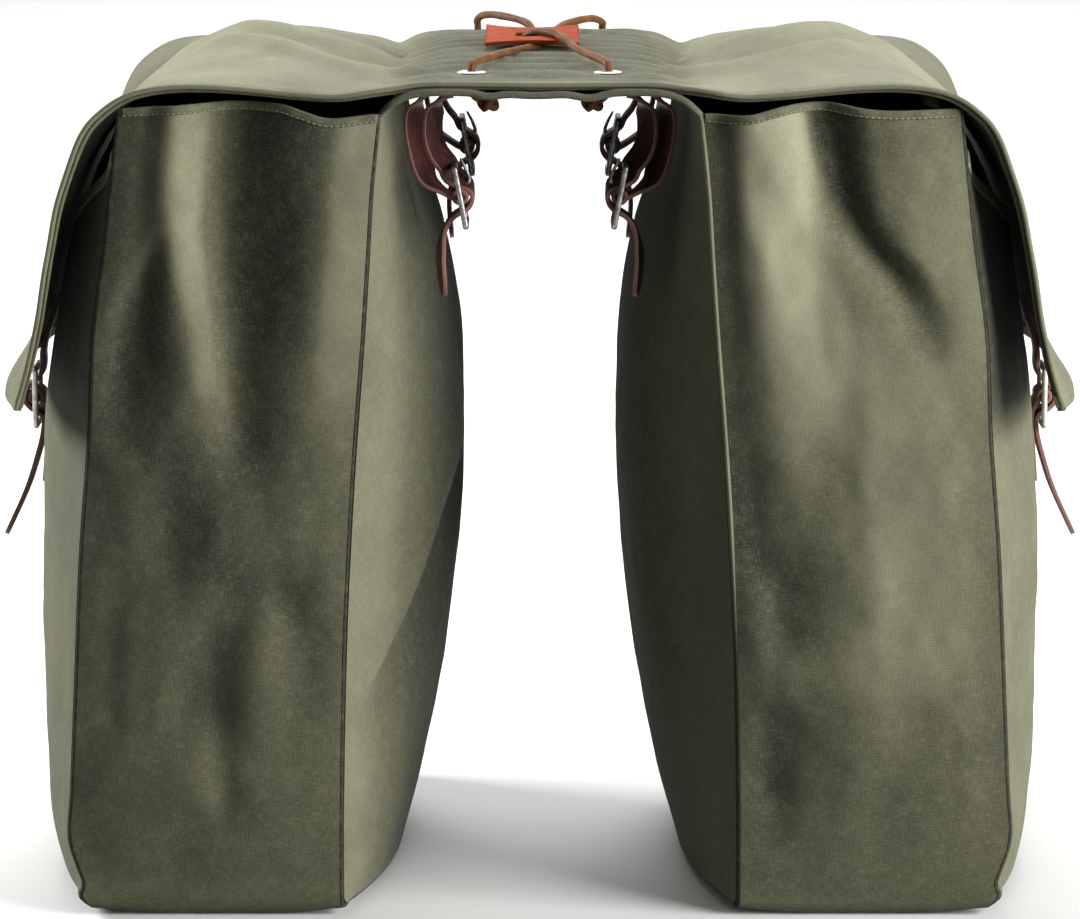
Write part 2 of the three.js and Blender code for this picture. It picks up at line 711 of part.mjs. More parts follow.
function buckleGeometry(side, seat, along) {
  const { long, wide, wire, chamfer, corner } = buckle;
  const halfWide = wide / 2 - chamfer;
  const halfLong = long / 2 - chamfer;
  const frame = new THREE.Shape();
  frame.moveTo(-halfWide + corner, -halfLong);
  frame.lineTo(halfWide - corner, -halfLong);
  frame.lineTo(halfWide, -halfLong + corner);
  frame.lineTo(halfWide, halfLong - corner);
  frame.lineTo(halfWide - corner, halfLong);
  frame.lineTo(-halfWide + corner, halfLong);
  frame.lineTo(-halfWide, halfLong - corner);
  frame.lineTo(-halfWide, -halfLong + corner);
  const windowHalf = wide / 2 - wire + chamfer;
  const windowFar = long / 2 - wire + chamfer;
  const windowNear = wire / 2 - chamfer;
  for (const up of [1, -1]) {
    const window = new THREE.Path();
    window.moveTo(-up * windowHalf, up * windowNear);
    window.lineTo(-up * windowHalf, up * windowFar);
    window.lineTo(up * windowHalf, up * windowFar);
    window.lineTo(up * windowHalf, up * windowNear);
    frame.holes.push(window);
  }
  const geometry = new THREE.ExtrudeGeometry(frame, {
    depth: wire - 2 * chamfer,
    bevelThickness: chamfer,
    bevelSize: chamfer,
    bevelSegments: 1,
  });
  geometry.translate(0, 0, chamfer - wire / 2);
  const upward = new THREE.Vector3(side * Math.sin(seat.lean), 0, Math.cos(seat.lean));
  const front = new THREE.Vector3(side * Math.cos(seat.lean), 0, -Math.sin(seat.lean));
  front.multiplyScalar(seat.facing);
  const sideways = upward.clone().cross(front);
  const turn = new THREE.Matrix4().makeBasis(sideways, upward, front);
  geometry.applyMatrix4(turn);
  geometry.translate(side * seat.across, along, seat.z);
  return geometry;
}

// One fastening: strap, chape, buckle and prong
function addFastening(label, kind, side, along, seat, head, tail, chapeLine, strapSamples, chapeSamples) {
  const threaded = threadRows.map((row) => seatPoint(seat, row.forward, row.up));
  const strapLine = linePoints(head).concat(threaded, linePoints(tail));
  const prongLine = prongRows.map((row) => seatPoint(seat, row.forward, row.up));
  const strapBand = toSolid(bandGeometry(side, strapLine, strapSamples, strapThickness, strapWidth, along));
  const strap = strapBand.subtract(slotBox(side, seat, along, 5, 5.5, 7));
  const chapePoints = linePoints(chapeLine);
  const chapeBand = ringedBand(
    side, seat, chapePoints, chapeSamples, chapeThickness, strapWidth, along, chapeRing,
  );
  const chape = chapeBand.subtract(slotBox(side, seat, along, 1.5, 0, 11));
  const prong = ringedBand(side, seat, prongLine, 4, prongThickness, prongWidth, along, barHole + 1.4);
  addPiece(`${kind}_strap_${label}`, toGeometry(strap), material.strap);
  addPiece(`${kind}_chape_${label}`, toGeometry(chape), material.strap);
  addPiece(`${kind}_buckle_${label}`, buckleGeometry(side, seat, along), material.metal);
  addPiece(`${kind}_prong_${label}`, toGeometry(prong), material.metal);
}

for (const [sideName, side] of [["left", -1], ["right", 1]]) {
  const gussetWall = wallAbout(gussetSurface(side), gussetLength, gussetSteps.across, canvas);
  addPiece(`${sideName}_gusset`, gussetWall, material.canvas);
  const outerWall = wallAbout(outerPanelSurface(side), outerSteps.along, outerSteps.up, canvas);
  addPiece(`${sideName}_outer_panel`, outerWall, material.canvas);
  addPiece(`${sideName}_outer_piping`, seamCord(gussetEdge(side, 1), false), material.piping);
  for (const [endName, along] of [["rear", -rackStrapAlong], ["front", rackStrapAlong]]) {
    const label = `${endName}_${sideName}`;
    addFastening(label, "rack", side, along, rackSeat, rackStrapHead, rackStrapTail, rackChapeLine, 19, 8);
  }
  addFastening(sideName, "flap", side, 0, flapSeat, flapStrapHead, flapStrapTail, flapChapeLine, 18, 5);
}

// Eyelets through the lid and the saddle
const lidTopAtEyelet = lidPoint(placeOf(lidRows, "midX", eyeletAcross), eyeletAlong).z + lidCloth / 2 + gap;
const saddleUnderside = saddleRows[0].endZ - canvas / 2 - gap;

function eyeletGeometry() {
  const outline = [
    new THREE.Vector2(eyelet.hole, saddleUnderside - eyelet.metal),
    new THREE.Vector2(eyelet.foot, saddleUnderside - eyelet.metal),
    new THREE.Vector2(eyelet.foot, saddleUnderside),
    new THREE.Vector2(eyelet.barrel, saddleUnderside),
    new THREE.Vector2(eyelet.barrel, lidTopAtEyelet),
    new THREE.Vector2(eyelet.flange, lidTopAtEyelet),
    new THREE.Vector2(eyelet.flange - 1, lidTopAtEyelet + eyelet.metal),
    new THREE.Vector2(eyelet.hole, lidTopAtEyelet + eyelet.metal),
  ];
  outline.push(outline[0].clone());
  const geometry = new THREE.LatheGeometry(outline, 8);
  geometry.rotateX(Math.PI / 2);
  return geometry;
}

for (const [sideName, x] of [["left", -eyeletAcross], ["right", eyeletAcross]]) {
  for (const [endName, y] of [["rear", -eyeletAlong], ["front", eyeletAlong]]) {
    const geometry = eyeletGeometry();
    geometry.translate(x, y, 0);
    addPiece(`eyelet_${endName}_${sideName}`, geometry, material.metal);
  }
}

// The lace, with a knot under each eyelet
function laceGeometry(rows) {
  const points = rows.map((row) => new THREE.Vector3(row.x, row.y, row.z));
  let solid = toSolid(cord(points, laceRadius, cordSides, laceSamples));
  for (const end of [points[0], points[points.length - 1]]) {
    const ball = wasm.Manifold.sphere(knot.radius, 8);
    solid = solid.add(ball.translate([end.x, end.y, knot.z]));
  }
  return toGeometry(solid);
}

addPiece("lace_over", laceGeometry(laceOverRows), material.lace);
addPiece("lace_under", laceGeometry(laceUnderRows), material.lace);

// The patch
const patchSteps = { along: 6, across: 4 };

function patchSurface(u, v) {
  const place = (u / patchSteps.along) * (patchRows.length - 1);
  const half = alongRows(patchRows, "half", place);
  const across = mix(-1, 1, v / patchSteps.across);
  const z = alongRows(patchRows, "z", place) + alongRows(patchRows, "arch", place) * (1 - across ** 2);
  return new THREE.Vector3(patchShift + half * across, alongRows(patchRows, "y", place), z);
}

const slotLength = patchSlot.front - patchSlot.rear;
const slotCutter = wasm.Manifold.cube([2 * patchSlot.x, slotLength, 40], true);
const slotPlace = [patchShift, (patchSlot.front + patchSlot.rear) / 2, patchRows[2].z];
const patchWall = toSolid(wallAbout(patchSurface, patchSteps.along, patchSteps.across, patchLeather));
addPiece("lace_patch", toGeometry(patchWall.subtract(slotCutter.translate(slotPlace))), material.patch);

export default pannier;
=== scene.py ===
import math
import bpy
import numpy as np
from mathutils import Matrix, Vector


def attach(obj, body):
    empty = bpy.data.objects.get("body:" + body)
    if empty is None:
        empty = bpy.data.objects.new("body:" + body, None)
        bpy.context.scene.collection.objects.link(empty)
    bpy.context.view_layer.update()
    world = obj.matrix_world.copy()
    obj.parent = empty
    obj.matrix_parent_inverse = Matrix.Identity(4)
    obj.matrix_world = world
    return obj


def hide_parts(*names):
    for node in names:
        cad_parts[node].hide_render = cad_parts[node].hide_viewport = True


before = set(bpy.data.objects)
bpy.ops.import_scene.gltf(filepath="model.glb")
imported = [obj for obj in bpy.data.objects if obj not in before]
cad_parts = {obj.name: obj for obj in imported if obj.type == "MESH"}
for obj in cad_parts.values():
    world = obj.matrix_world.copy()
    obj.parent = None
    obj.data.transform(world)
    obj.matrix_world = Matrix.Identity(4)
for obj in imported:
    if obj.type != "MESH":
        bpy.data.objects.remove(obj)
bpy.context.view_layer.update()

mm = 0.001
bothSides = (("left", -1), ("right", 1))


def deselect():
    bpy.ops.object.select_all(action="DESELECT")


# Camera first: a long lens, a little above the bags
camera = {"place": (0, -2.610, 0.6529), "tip": 80.3, "lens": 166.6, "sensor": 36, "farthest": 100}


def setCamera():
    deselect()
    bpy.ops.object.camera_add(location=camera["place"], rotation=(math.radians(camera["tip"]), 0, 0))
    shot = bpy.context.object
    shot.data.lens = camera["lens"]
    shot.data.sensor_width = camera["sensor"]
    shot.data.clip_end = camera["farthest"]
    bpy.context.scene.camera = shot
    print("pannier: camera set")


setCamera()


# Reading the pattern tables, in millimetres

def curveAt(values, row):  # smooth line through one column of a table
    values = np.asarray(values, float)
    last = len(values) - 1
    before = np.clip(np.floor(row).astype(int), 0, last - 1)
    share = row - before
    start, end = values[before], values[before + 1]
    leave = np.where(before > 0, (end - values[np.maximum(before - 1, 0)]) / 2, end - start)
    arrive = np.where(before + 2 <= last, (values[np.minimum(before + 2, last)] - start) / 2, end - start)
    square, cube = share ** 2, share ** 3
    return ((2 * cube - 3 * square + 1) * start + (cube - 2 * square + share) * leave
            + (3 * square - 2 * cube) * end + (cube - square) * arrive)


def rowOf(values, target):  # where a steadily rising or falling column has a value
    rises = values[-1] > values[0]
    low = np.zeros_like(target, float)
    high = np.full_like(target, len(values) - 1, float)
    for halving in range(34):
        middle = (low + high) / 2
        below = (curveAt(values, middle) < target) == rises
        low = np.where(below, middle, low)
        high = np.where(below, high, middle)
    return (low + high) / 2


def blend(start, end, share):
    return start + (end - start) * share


def fade(value, over):  # 0 to 1, in a straight line
    return np.clip(value / over, 0, 1)


def easeIn(value):  # 0 to 1, softly
    value = np.clip(value, 0, 1)
    return value * value * (3 - 2 * value)


def ease(value, span):  # softly from 0 to 1; a span is a start and a length, negative for downwards
    start, over = span
    return easeIn((value - start) / over)


def hump(value, middle, wide, high=1.0):
    return high * np.exp(-((value - middle) / wide) ** 2)


def bulge(y, half):  # 1 at mid length, 0 at the end seams
    return 1 - np.abs(y / half) ** 2.2


def rumple(x, y, seed):  # soft seeded unevenness from -1 to 1, about one hump per unit
    column, row = np.floor(x), np.floor(y)
    shareX, shareY = easeIn(x - column), easeIn(y - row)

    def knot(i, j):
        wild = np.sin(i * 127.1 + j * 311.7 + seed * 74.7) * 43758.5453
        return 2 * (wild - np.floor(wild)) - 1

    lower = blend(knot(column, row), knot(column + 1, row), shareX)
    upper = blend(knot(column, row + 1), knot(column + 1, row + 1), shareX)
    return blend(lower, upper, shareY)


rumples = {  # heights of the coarse and fine unevenness of each cloth, and their sizes
    "end": {"high": 1.2, "wide": 21, "tall": 34, "fineHigh": 0.45, "fineWide": 8, "fineTall": 13},
    "inner": {"high": 0.8, "wide": 34, "tall": 46, "fineHigh": 0.25, "fineWide": 11, "fineTall": 15},
    "outer": {"high": 1.6, "wide": 46, "tall": 60, "fineHigh": 0.5, "fineWide": 15, "fineTall": 19},
    "flap": {"high": 1.2, "wide": 40, "tall": 55, "fineHigh": 0.4, "fineWide": 14, "fineTall": 18}}


def unevenness(kind, x, y, seeds, shifts=(0, 0)):
    cloth = rumples[kind]
    coarse = rumple(x / cloth["wide"] + shifts[0], y / cloth["tall"], seeds[0])
    fine = rumple(x / cloth["fineWide"], y / cloth["fineTall"] + shifts[1], seeds[1])
    return cloth["high"] * coarse + cloth["fineHigh"] * fine


def fold(height, across, left, right, depth, fadeOut):
    return {"height": height, "across": across, "left": left, "right": right, "depth": depth, "fade": fadeOut}


def foldDepth(folds, across, height, power=2):  # how deep the folds press in, each along its own line
    depth = np.zeros_like(across)
    for crease in folds:
        heights = crease["height"]
        line, left, right, deep = (np.interp(height, heights, np.broadcast_to(crease[key], len(heights)))
                                   for key in ("across", "left", "right", "depth"))
        aside = across - line
        width = np.where(aside < 0, left, right)
        fadeLow, fadeHigh = crease["fade"]
        strength = easeIn((height - heights[0] + fadeLow) / fadeLow)
        strength = strength * easeIn((heights[-1] + fadeHigh - height) / fadeHigh)
        depth += deep * strength * np.exp(-np.abs(aside / width) ** power)
    return depth


# Lines in space

def unit(vectors):
    return vectors / np.linalg.norm(vectors, axis=1)[:, None]


def runAlong(line):  # distance from the start at each point
    return np.concatenate([[0], np.cumsum(np.linalg.norm(np.diff(line, axis=0), axis=1))])


def pointsAt(line, spots):  # points at given distances along a line
    run = runAlong(line)
    return np.stack([np.interp(spots, run, column) for column in line.T], 1)


def smoothLine(points, pitch):  # an evenly spaced smooth line through points
    points = np.asarray(points, float)
    steps = np.linspace(0, len(points) - 1, 16 * len(points))
    line = np.stack([curveAt(column, steps) for column in points.T], 1)
    length = runAlong(line)[-1]
    return pointsAt(line, np.linspace(0, length, max(6, int(length / pitch))))


def lineFrames(line, lean, closed=False):  # unit directions across and out along a line
    ahead = np.roll(line, -1, 0) - np.roll(line, 1, 0) if closed else np.gradient(line, axis=0)
    ahead = unit(ahead)
    across = unit(np.cross(np.broadcast_to(lean, line.shape), ahead))
    return across, np.cross(ahead, across)


def edgeFrame(edge, beside, outward):  # unit directions into the cloth and out of its face, along an edge
    inward = unit(beside - edge)
    out = np.cross(np.gradient(edge, axis=0), inward)
    out *= np.sign(np.sum(out * outward, axis=1))[:, None]
    return inward, unit(out)


# Making cloth, tubes and stitches

def useOnly(piece):
    deselect()
    piece.select_set(True)
    bpy.context.view_layer.objects.active = piece


def applyModifier(piece, kind, **settings):
    useOnly(piece)
    change = piece.modifiers.new(kind.title(), kind)
    for key, value in settings.items():
        setattr(change, key, value)
    bpy.ops.object.modifier_apply(modifier=change.name)


def softenEdges(piece, width, segments):
    applyModifier(piece, "BEVEL", width=width * mm, segments=segments, limit_method="ANGLE",
                  angle_limit=math.radians(50))


def smoothShade(piece, angle=50):
    useOnly(piece)
    bpy.ops.object.shade_smooth_by_angle(angle=math.radians(angle))


def editAll(piece, *steps):  # edit-mode steps, each on the whole piece
    useOnly(piece)
    bpy.ops.object.mode_set(mode="EDIT")
    for step in steps:
        bpy.ops.mesh.select_all(action="SELECT")
        step()
    bpy.ops.object.mode_set(mode="OBJECT")


def mergeDoubles():
    bpy.ops.mesh.remove_doubles(threshold=0.00001)


def closeEnds():
    bpy.ops.mesh.fill_holes(sides=0)


def turnOutward():
    bpy.ops.mesh.normals_make_consistent(inside=False)


def editWhere(piece, kind, test, step):  # picks faces or corners by their place in millimetres
    useOnly(piece)
    bpy.ops.object.mode_set(mode="EDIT")
    bpy.ops.mesh.select_mode(type=kind)
    bpy.ops.mesh.select_all(action="DESELECT")
    bpy.ops.object.mode_set(mode="OBJECT")
    if kind == "FACE":
        for face in piece.data.polygons:
            face.select = test(face.center / mm)
    else:
        for corner in piece.data.vertices:
            corner.select = test(corner.co / mm)
    bpy.ops.object.mode_set(mode="EDIT")
    step()
    bpy.ops.object.mode_set(mode="OBJECT")


def deletePicked():
    bpy.ops.mesh.delete(type="FACE")


def places(piece):  # points in metres
    flat = np.empty(len(piece.data.vertices) * 3)
    piece.data.vertices.foreach_get("co", flat)
    return flat.reshape(-1, 3)


def setPoints(piece, points):  # points in millimetres
    piece.data.vertices.foreach_set("co", (np.asarray(points) * mm).ravel())
    piece.data.update()


def addGrid(name, columns, rows):  # a flat grid, and how far across and along it each point is
    deselect()
    bpy.ops.mesh.primitive_grid_add(x_subdivisions=columns, y_subdivisions=rows, size=2, calc_uvs=True)
    piece = bpy.context.object
    piece.name = name
    piece.data.name = name
    shares = (places(piece) + 1) / 2
    return piece, shares[:, 0], shares[:, 1]


def spreadUv(piece, width, length):  # cloth coordinates in metres, so the weave keeps its size
    layer = piece.data.uv_layers.active.data
    flat = np.empty(len(layer) * 2)
    layer.foreach_get("uv", flat)
    flat[0::2] *= width * mm
    flat[1::2] *= length * mm
    layer.foreach_set("uv", flat)


def setWearAndPaintedLight(piece, worn):  # 1 pales the canvas and turns leather to its cut colour, -1 darkens the canvas: real wear on leather edges, painted highlight and painted shade on the canvas, painted shade on the patch's rim
    piece.data.attributes.new("worn", "FLOAT", "POINT").data.foreach_set("value", worn)


def makeCloth(name, columns, rows, lay, thickness, cut):  # lay gives each point's place, and its painted highlight and painted shade
    piece, across, along = addGrid(name, columns, rows)
    points, worn = lay(across, along)
    setPoints(piece, points)
    spreadUv(piece, *cut)
    setWearAndPaintedLight(piece, worn)
    applyModifier(piece, "SOLIDIFY", thickness=thickness * mm, offset=0)
    smoothShade(piece)
    return piece


# sweeps a profile (across, out) along a line; mark rubs the profile's corners, real wear on leather edges,
# and the line's points take a painted highlight
def makeTube(name, line, lean, profile, closed=False, swell=1.0, turn=0.0, mark=0.0, wear=0.0):
    across, out = lineFrames(line, lean, closed)
    rows, corners = len(line), len(profile)
    spans = rows if closed else rows - 1
    piece, around, along = addGrid(name, corners, spans)
    ring = np.rint(around * corners).astype(int) % corners
    row = np.rint(along * spans).astype(int) % rows
    cut = profile[ring] * np.broadcast_to(swell, (rows, 2))[row]
    angle = np.broadcast_to(turn, rows)[row]
    wide = cut[:, 0] * np.cos(angle) - cut[:, 1] * np.sin(angle)
    tall = cut[:, 0] * np.sin(angle) + cut[:, 1] * np.cos(angle)
    setPoints(piece, line[row] + wide[:, None] * across[row] + tall[:, None] * out[row])
    girth = np.linalg.norm(np.roll(profile, -1, 0) - profile, axis=1).sum()
    spreadUv(piece, girth, runAlong(line)[-1])
    setWearAndPaintedLight(piece, np.broadcast_to(mark, corners)[ring] + np.broadcast_to(wear, rows)[row])
    ends = [] if closed else [closeEnds]
    editAll(piece, mergeDoubles, *ends, turnOutward)
    smoothShade(piece)
    return piece


def roundProfile(radius, corners):
    turn = np.arange(corners) / corners * 2 * math.pi
    return np.stack([radius * np.cos(turn), radius * np.sin(turn)], 1)


def flatProfile(width, thickness, corner, steps=3):  # a rounded rectangle, across then out
    points = []
    for signX, signY, start in ((1, 1, 0), (-1, 1, 90), (-1, -1, 180), (1, -1, 270)):
        for step in range(steps + 1):
            turn = math.radians(start + 90 * step / steps)
            points.append((signX * (width / 2 - corner) + corner * math.cos(turn),
                           signY * (thickness / 2 - corner) + corner * math.sin(turn)))
    return np.array(points)


thread = {"pitch": 2.9, "length": 2.4, "radius": 0.3, "rise": 0.1, "above": 0.02}


def sewLine(name, line, out):  # a row of stitches lying on the cloth
    spots = pointsAt(line, np.arange(thread["pitch"] / 2, runAlong(line)[-1], thread["pitch"]))
    nearest = np.argmin(np.linalg.norm(line[None] - spots[:, None], axis=2), axis=1)
    ahead = unit(np.gradient(line, axis=0)[nearest])
    across = unit(np.cross(out[nearest], ahead))
    up = np.cross(ahead, across)
    deselect()
    bpy.ops.mesh.primitive_uv_sphere_add(segments=6, ring_count=5, radius=1)
    stitch = bpy.context.object
    shape = places(stitch)
    faces = [list(face.vertices) for face in stitch.data.polygons]
    bpy.data.objects.remove(stitch)
    radius = thread["radius"]
    lift = radius * (1 - shape[:, 2] ** 2) - radius + thread["rise"]  # the ends dive into the cloth
    points, polygons = [], []
    for spot, a, c, u in zip(spots, ahead, across, up):
        start = len(points)
        points.extend((spot + shape[:, 2:] * a * thread["length"] / 2 + shape[:, :1] * c * radius
                       + shape[:, 1:2] * u * radius + lift[:, None] * u) * mm)
        polygons.extend([[start + corner for corner in face] for face in faces])
    mesh = bpy.data.meshes.new(name)
    mesh.from_pydata(points, [], polygons)
    piece = bpy.data.objects.new(name, mesh)
    bpy.context.collection.objects.link(piece)
    smoothShade(piece, 80)
    return piece


def dress(piece, finish, slotName, *nodes):  # gives a finish, and stands in for the plain solids
    piece.data.materials.clear()
    piece.data.materials.append(finish)
    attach(piece, "root")
    if nodes:
        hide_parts(*nodes)
    return piece


# Finishes

def newFinish(name):
    finish = bpy.data.materials.new(name)
    finish.use_nodes = True
    tree = finish.node_tree
    return finish, tree, tree.nodes["Principled BSDF"]


def feed(tree, node, inputs):  # links sockets and sets plain values
    for key, value in inputs.items():
        if isinstance(value, bpy.types.NodeSocket):
            tree.links.new(value, node.inputs[key])
        else:
            node.inputs[key].default_value = value


def addNode(tree, kind, inputs=None, **settings):
    node = tree.nodes.new(kind)
    for key, value in settings.items():
        setattr(node, key, value)
    feed(tree, node, inputs or {})
    return node


def calculate(tree, operation, *values):
    return addNode(tree, "ShaderNodeMath", dict(enumerate(values)), operation=operation).outputs[0]


def colourMix(tree, share, first, second):
    colours = [value if isinstance(value, bpy.types.NodeSocket) else (*value, 1) for value in (first, second)]
    node = addNode(tree, "ShaderNodeMix", data_type="RGBA")
    feed(tree, node, {0: share, 6: colours[0], 7: colours[1]})
    return node.outputs[2]


def ramp(tree, source, low, high, top=1.0, foot=0.0):
    ends = {"Value": source, "From Min": low, "From Max": high, "To Min": foot, "To Max": top}
    return addNode(tree, "ShaderNodeMapRange", ends).outputs[0]


def layered(tree, colour, *layers):  # a layer: its mask, where that begins and is full, share, colour
    for mask, begin, full, share, shade in layers:
        colour = colourMix(tree, ramp(tree, mask, begin, full, share), colour, shade)
    return colour


def noise(tree, vector, scale, detail=2.0, roughness=0.5):
    grain = {"Vector": vector, "Scale": scale, "Detail": detail, "Roughness": roughness}
    return addNode(tree, "ShaderNodeTexNoise", grain).outputs["Fac"]


def stretched(tree, vector, scale):
    return addNode(tree, "ShaderNodeMapping", {"Vector": vector, "Scale": scale}).outputs[0]


def solidPlace(tree):
    return addNode(tree, "ShaderNodeTexCoord").outputs["Object"]


def wearAndPaintedLightMark(tree):
    return addNode(tree, "ShaderNodeAttribute", attribute_name="worn").outputs["Fac"]


def bump(tree, height, strength, distance):
    return addNode(tree, "ShaderNodeBump", {"Height": height, "Strength": strength,
                                            "Distance": distance}).outputs[0]


canvasLook = {"base": (0.111, 0.111, 0.063), "dark": (0.022, 0.0225, 0.012), "pale": (0.375, 0.375, 0.245),
              "thread": 0.0008, "weaveShade": 0.16, "weaveDepth": 0.0002, "slubShade": 0.24, "slubRise": 0.35,
              "roughness": 0.88, "gloss": 0.25, "sheen": 0.08, "sheenSpread": 0.6}
canvasPatches = [  # cloudy patches: scale, detail, roughness, where they begin and are full, share, shade
    (9.0, 5.0, 0.6, 0.56, 0.3, 0.3, "dark"), (34.0, 4.0, 0.6, 0.55, 0.3, 0.2, "dark"),
    (150.0, 3.0, 0.5, 0.5, 0.75, 0.1, "pale")]
bandsPerMetre = 0.31416  # a wave texture's scale for one band a metre


def canvasFinish(name, tone=1.0, paintedHighlightTone=None):
    finish, tree, shader = newFinish(name)
    cloth = addNode(tree, "ShaderNodeUVMap").outputs[0]
    solid = solidPlace(tree)
    bands = {"Vector": cloth, "Scale": bandsPerMetre / canvasLook["thread"], "Distortion": 1.0,
             "Detail": 1.0, "Detail Scale": 0.4}
    threads = [addNode(tree, "ShaderNodeTexWave", bands, bands_direction=way).outputs["Fac"] for way in "XY"]
    weave = calculate(tree, "MULTIPLY", *threads)
    slubs = [noise(tree, stretched(tree, cloth, scale), 1.0) for scale in ((220, 2400, 1), (2400, 220, 1))]
    slub = calculate(tree, "ADD", *slubs)
    tones = {"base": tone, "dark": tone, "pale": paintedHighlightTone or tone}
    shades = {key: [value * share for value in canvasLook[key]] for key, share in tones.items()}
    worn, dark, pale = wearAndPaintedLightMark(tree), shades["dark"], shades["pale"]
    patches = [(noise(tree, solid, scale, detail, roughness), begin, full, share, shades[shade])
               for scale, detail, roughness, begin, full, share, shade in canvasPatches]
    # the attribute paints highlight toward pale and shade toward dark
    colour = layered(tree, shades["base"], (worn, 0.0, 1.0, 1.0, pale), (worn, 0.0, -1.0, 1.0, dark),
                     *patches, (slub, 0.95, 1.35, canvasLook["slubShade"], pale),
                     (slub, 0.95, 0.6, canvasLook["slubShade"], dark),
                     (weave, 0.4, 0.0, canvasLook["weaveShade"], dark))
    height = calculate(tree, "MULTIPLY_ADD", slub, canvasLook["slubRise"], weave)
    feed(tree, shader, {"Base Color": colour, "Roughness": canvasLook["roughness"],
                        "Sheen Weight": canvasLook["sheen"], "Sheen Roughness": canvasLook["sheenSpread"],
                        "Specular IOR Level": canvasLook["gloss"],
                        "Normal": bump(tree, height, 0.6, canvasLook["weaveDepth"])})
    return finish


canvas = canvasFinish("oliveCanvas")
hemCanvas = canvasFinish("hemCanvas", 1.15)
# the piping stays dark, with its pale colour at full tone for the painted highlight on the seam
pipingCanvas = canvasFinish("pipingCanvas", 0.14, 1.0)


def threadFinish(name, colour, shade=0.65):
    finish, tree, shader = newFinish(name)
    twist = noise(tree, solidPlace(tree), 1400.0)
    dark = [value * shade for value in colour]
    feed(tree, shader, {"Base Color": layered(tree, dark, (twist, 0.3, 0.7, 1.0, colour)),
                        "Roughness": 0.7, "Normal": bump(tree, twist, 0.5, 0.0001)})
    return finish


paleThread = threadFinish("paleThread", (0.29, 0.285, 0.195))

leatherLook = {"pores": 1100.0, "scuffs": 260.0, "patches": 55.0, "poreShade": 0.5, "scuffRise": 0.6,
               "grain": 0.35, "grainDepth": 0.00018}


def leatherFinish(name, dark, light, cut, roughness, gloss):
    finish, tree, shader = newFinish(name)
    solid = solidPlace(tree)
    cells = {"Vector": solid, "Scale": leatherLook["pores"]}
    pores = addNode(tree, "ShaderNodeTexVoronoi", cells).outputs["Distance"]
    scuff = noise(tree, solid, leatherLook["scuffs"], 5.0, 0.65)
    patches = noise(tree, solid, leatherLook["patches"], 4.0)
    deep = [value * leatherLook["poreShade"] for value in dark]
    # the attribute brings the cut colour: real wear on strap and lace edges, painted shade on the patch's rim
    colour = layered(tree, dark, (patches, 0.32, 0.68, 1.0, light), (scuff, 0.56, 0.78, 0.35, cut),
                     (pores, 0.3, 0.0, 0.35, deep), (wearAndPaintedLightMark(tree), 0.25, 0.9, 0.85, cut))
    grain = calculate(tree, "MULTIPLY_ADD", scuff, leatherLook["scuffRise"], pores)
    feed(tree, shader, {"Base Color": colour, "Specular IOR Level": gloss,
                        "Roughness": ramp(tree, scuff, 0.3, 0.75, roughness + 0.16, roughness - 0.12),
                        "Normal": bump(tree, grain, leatherLook["grain"], leatherLook["grainDepth"])})
    return finish


strapLeather = leatherFinish("strapLeather", dark=(0.022, 0.008, 0.007), light=(0.066, 0.020, 0.016),
                             cut=(0.24, 0.115, 0.085), roughness=0.5, gloss=0.35)
laceLeather = leatherFinish("laceLeather", dark=(0.085, 0.033, 0.011), light=(0.20, 0.084, 0.027),
                            cut=(0.29, 0.15, 0.06), roughness=0.6, gloss=0.2)
# the patch's dark cut colour marks scuffs, and also serves as painted shade along its rim
patchLeather = leatherFinish("patchLeather", dark=(0.31, 0.037, 0.003), light=(0.41, 0.058, 0.004),
                             cut=(0.15, 0.018, 0.006), roughness=0.6, gloss=0.06)

metalLook = {"stains": 210.0, "scratches": (3000, 400, 3000), "dulled": 0.22, "scratch": 0.18,
             "scratchDepth": 0.00008}


def metalFinish(name, shade, bright, roughness):
    finish, tree, shader = newFinish(name)
    solid = solidPlace(tree)
    stain = noise(tree, solid, metalLook["stains"], 5.0, 0.65)
    scratch = noise(tree, stretched(tree, solid, metalLook["scratches"]), 1.0, 3.0)
    feed(tree, shader, {"Base Color": layered(tree, shade, (stain, 0.35, 0.65, 1.0, bright)),
                        "Metallic": 1.0,
                        "Roughness": ramp(tree, stain, 0.7, 0.3, roughness + metalLook["dulled"], roughness),
                        "Normal": bump(tree, scratch, metalLook["scratch"], metalLook["scratchDepth"])})
    return finish


buckleMetal = metalFinish("buckleMetal", (0.10, 0.098, 0.095), (0.42, 0.41, 0.40), 0.32)
flapMetal = metalFinish("flapMetal", (0.40, 0.385, 0.36), (0.68, 0.66, 0.62), 0.32)
eyeletMetal = metalFinish("eyeletMetal", (0.55, 0.53, 0.47), (0.80, 0.78, 0.72), 0.26)
print("pannier: finishes mixed")


# The bags

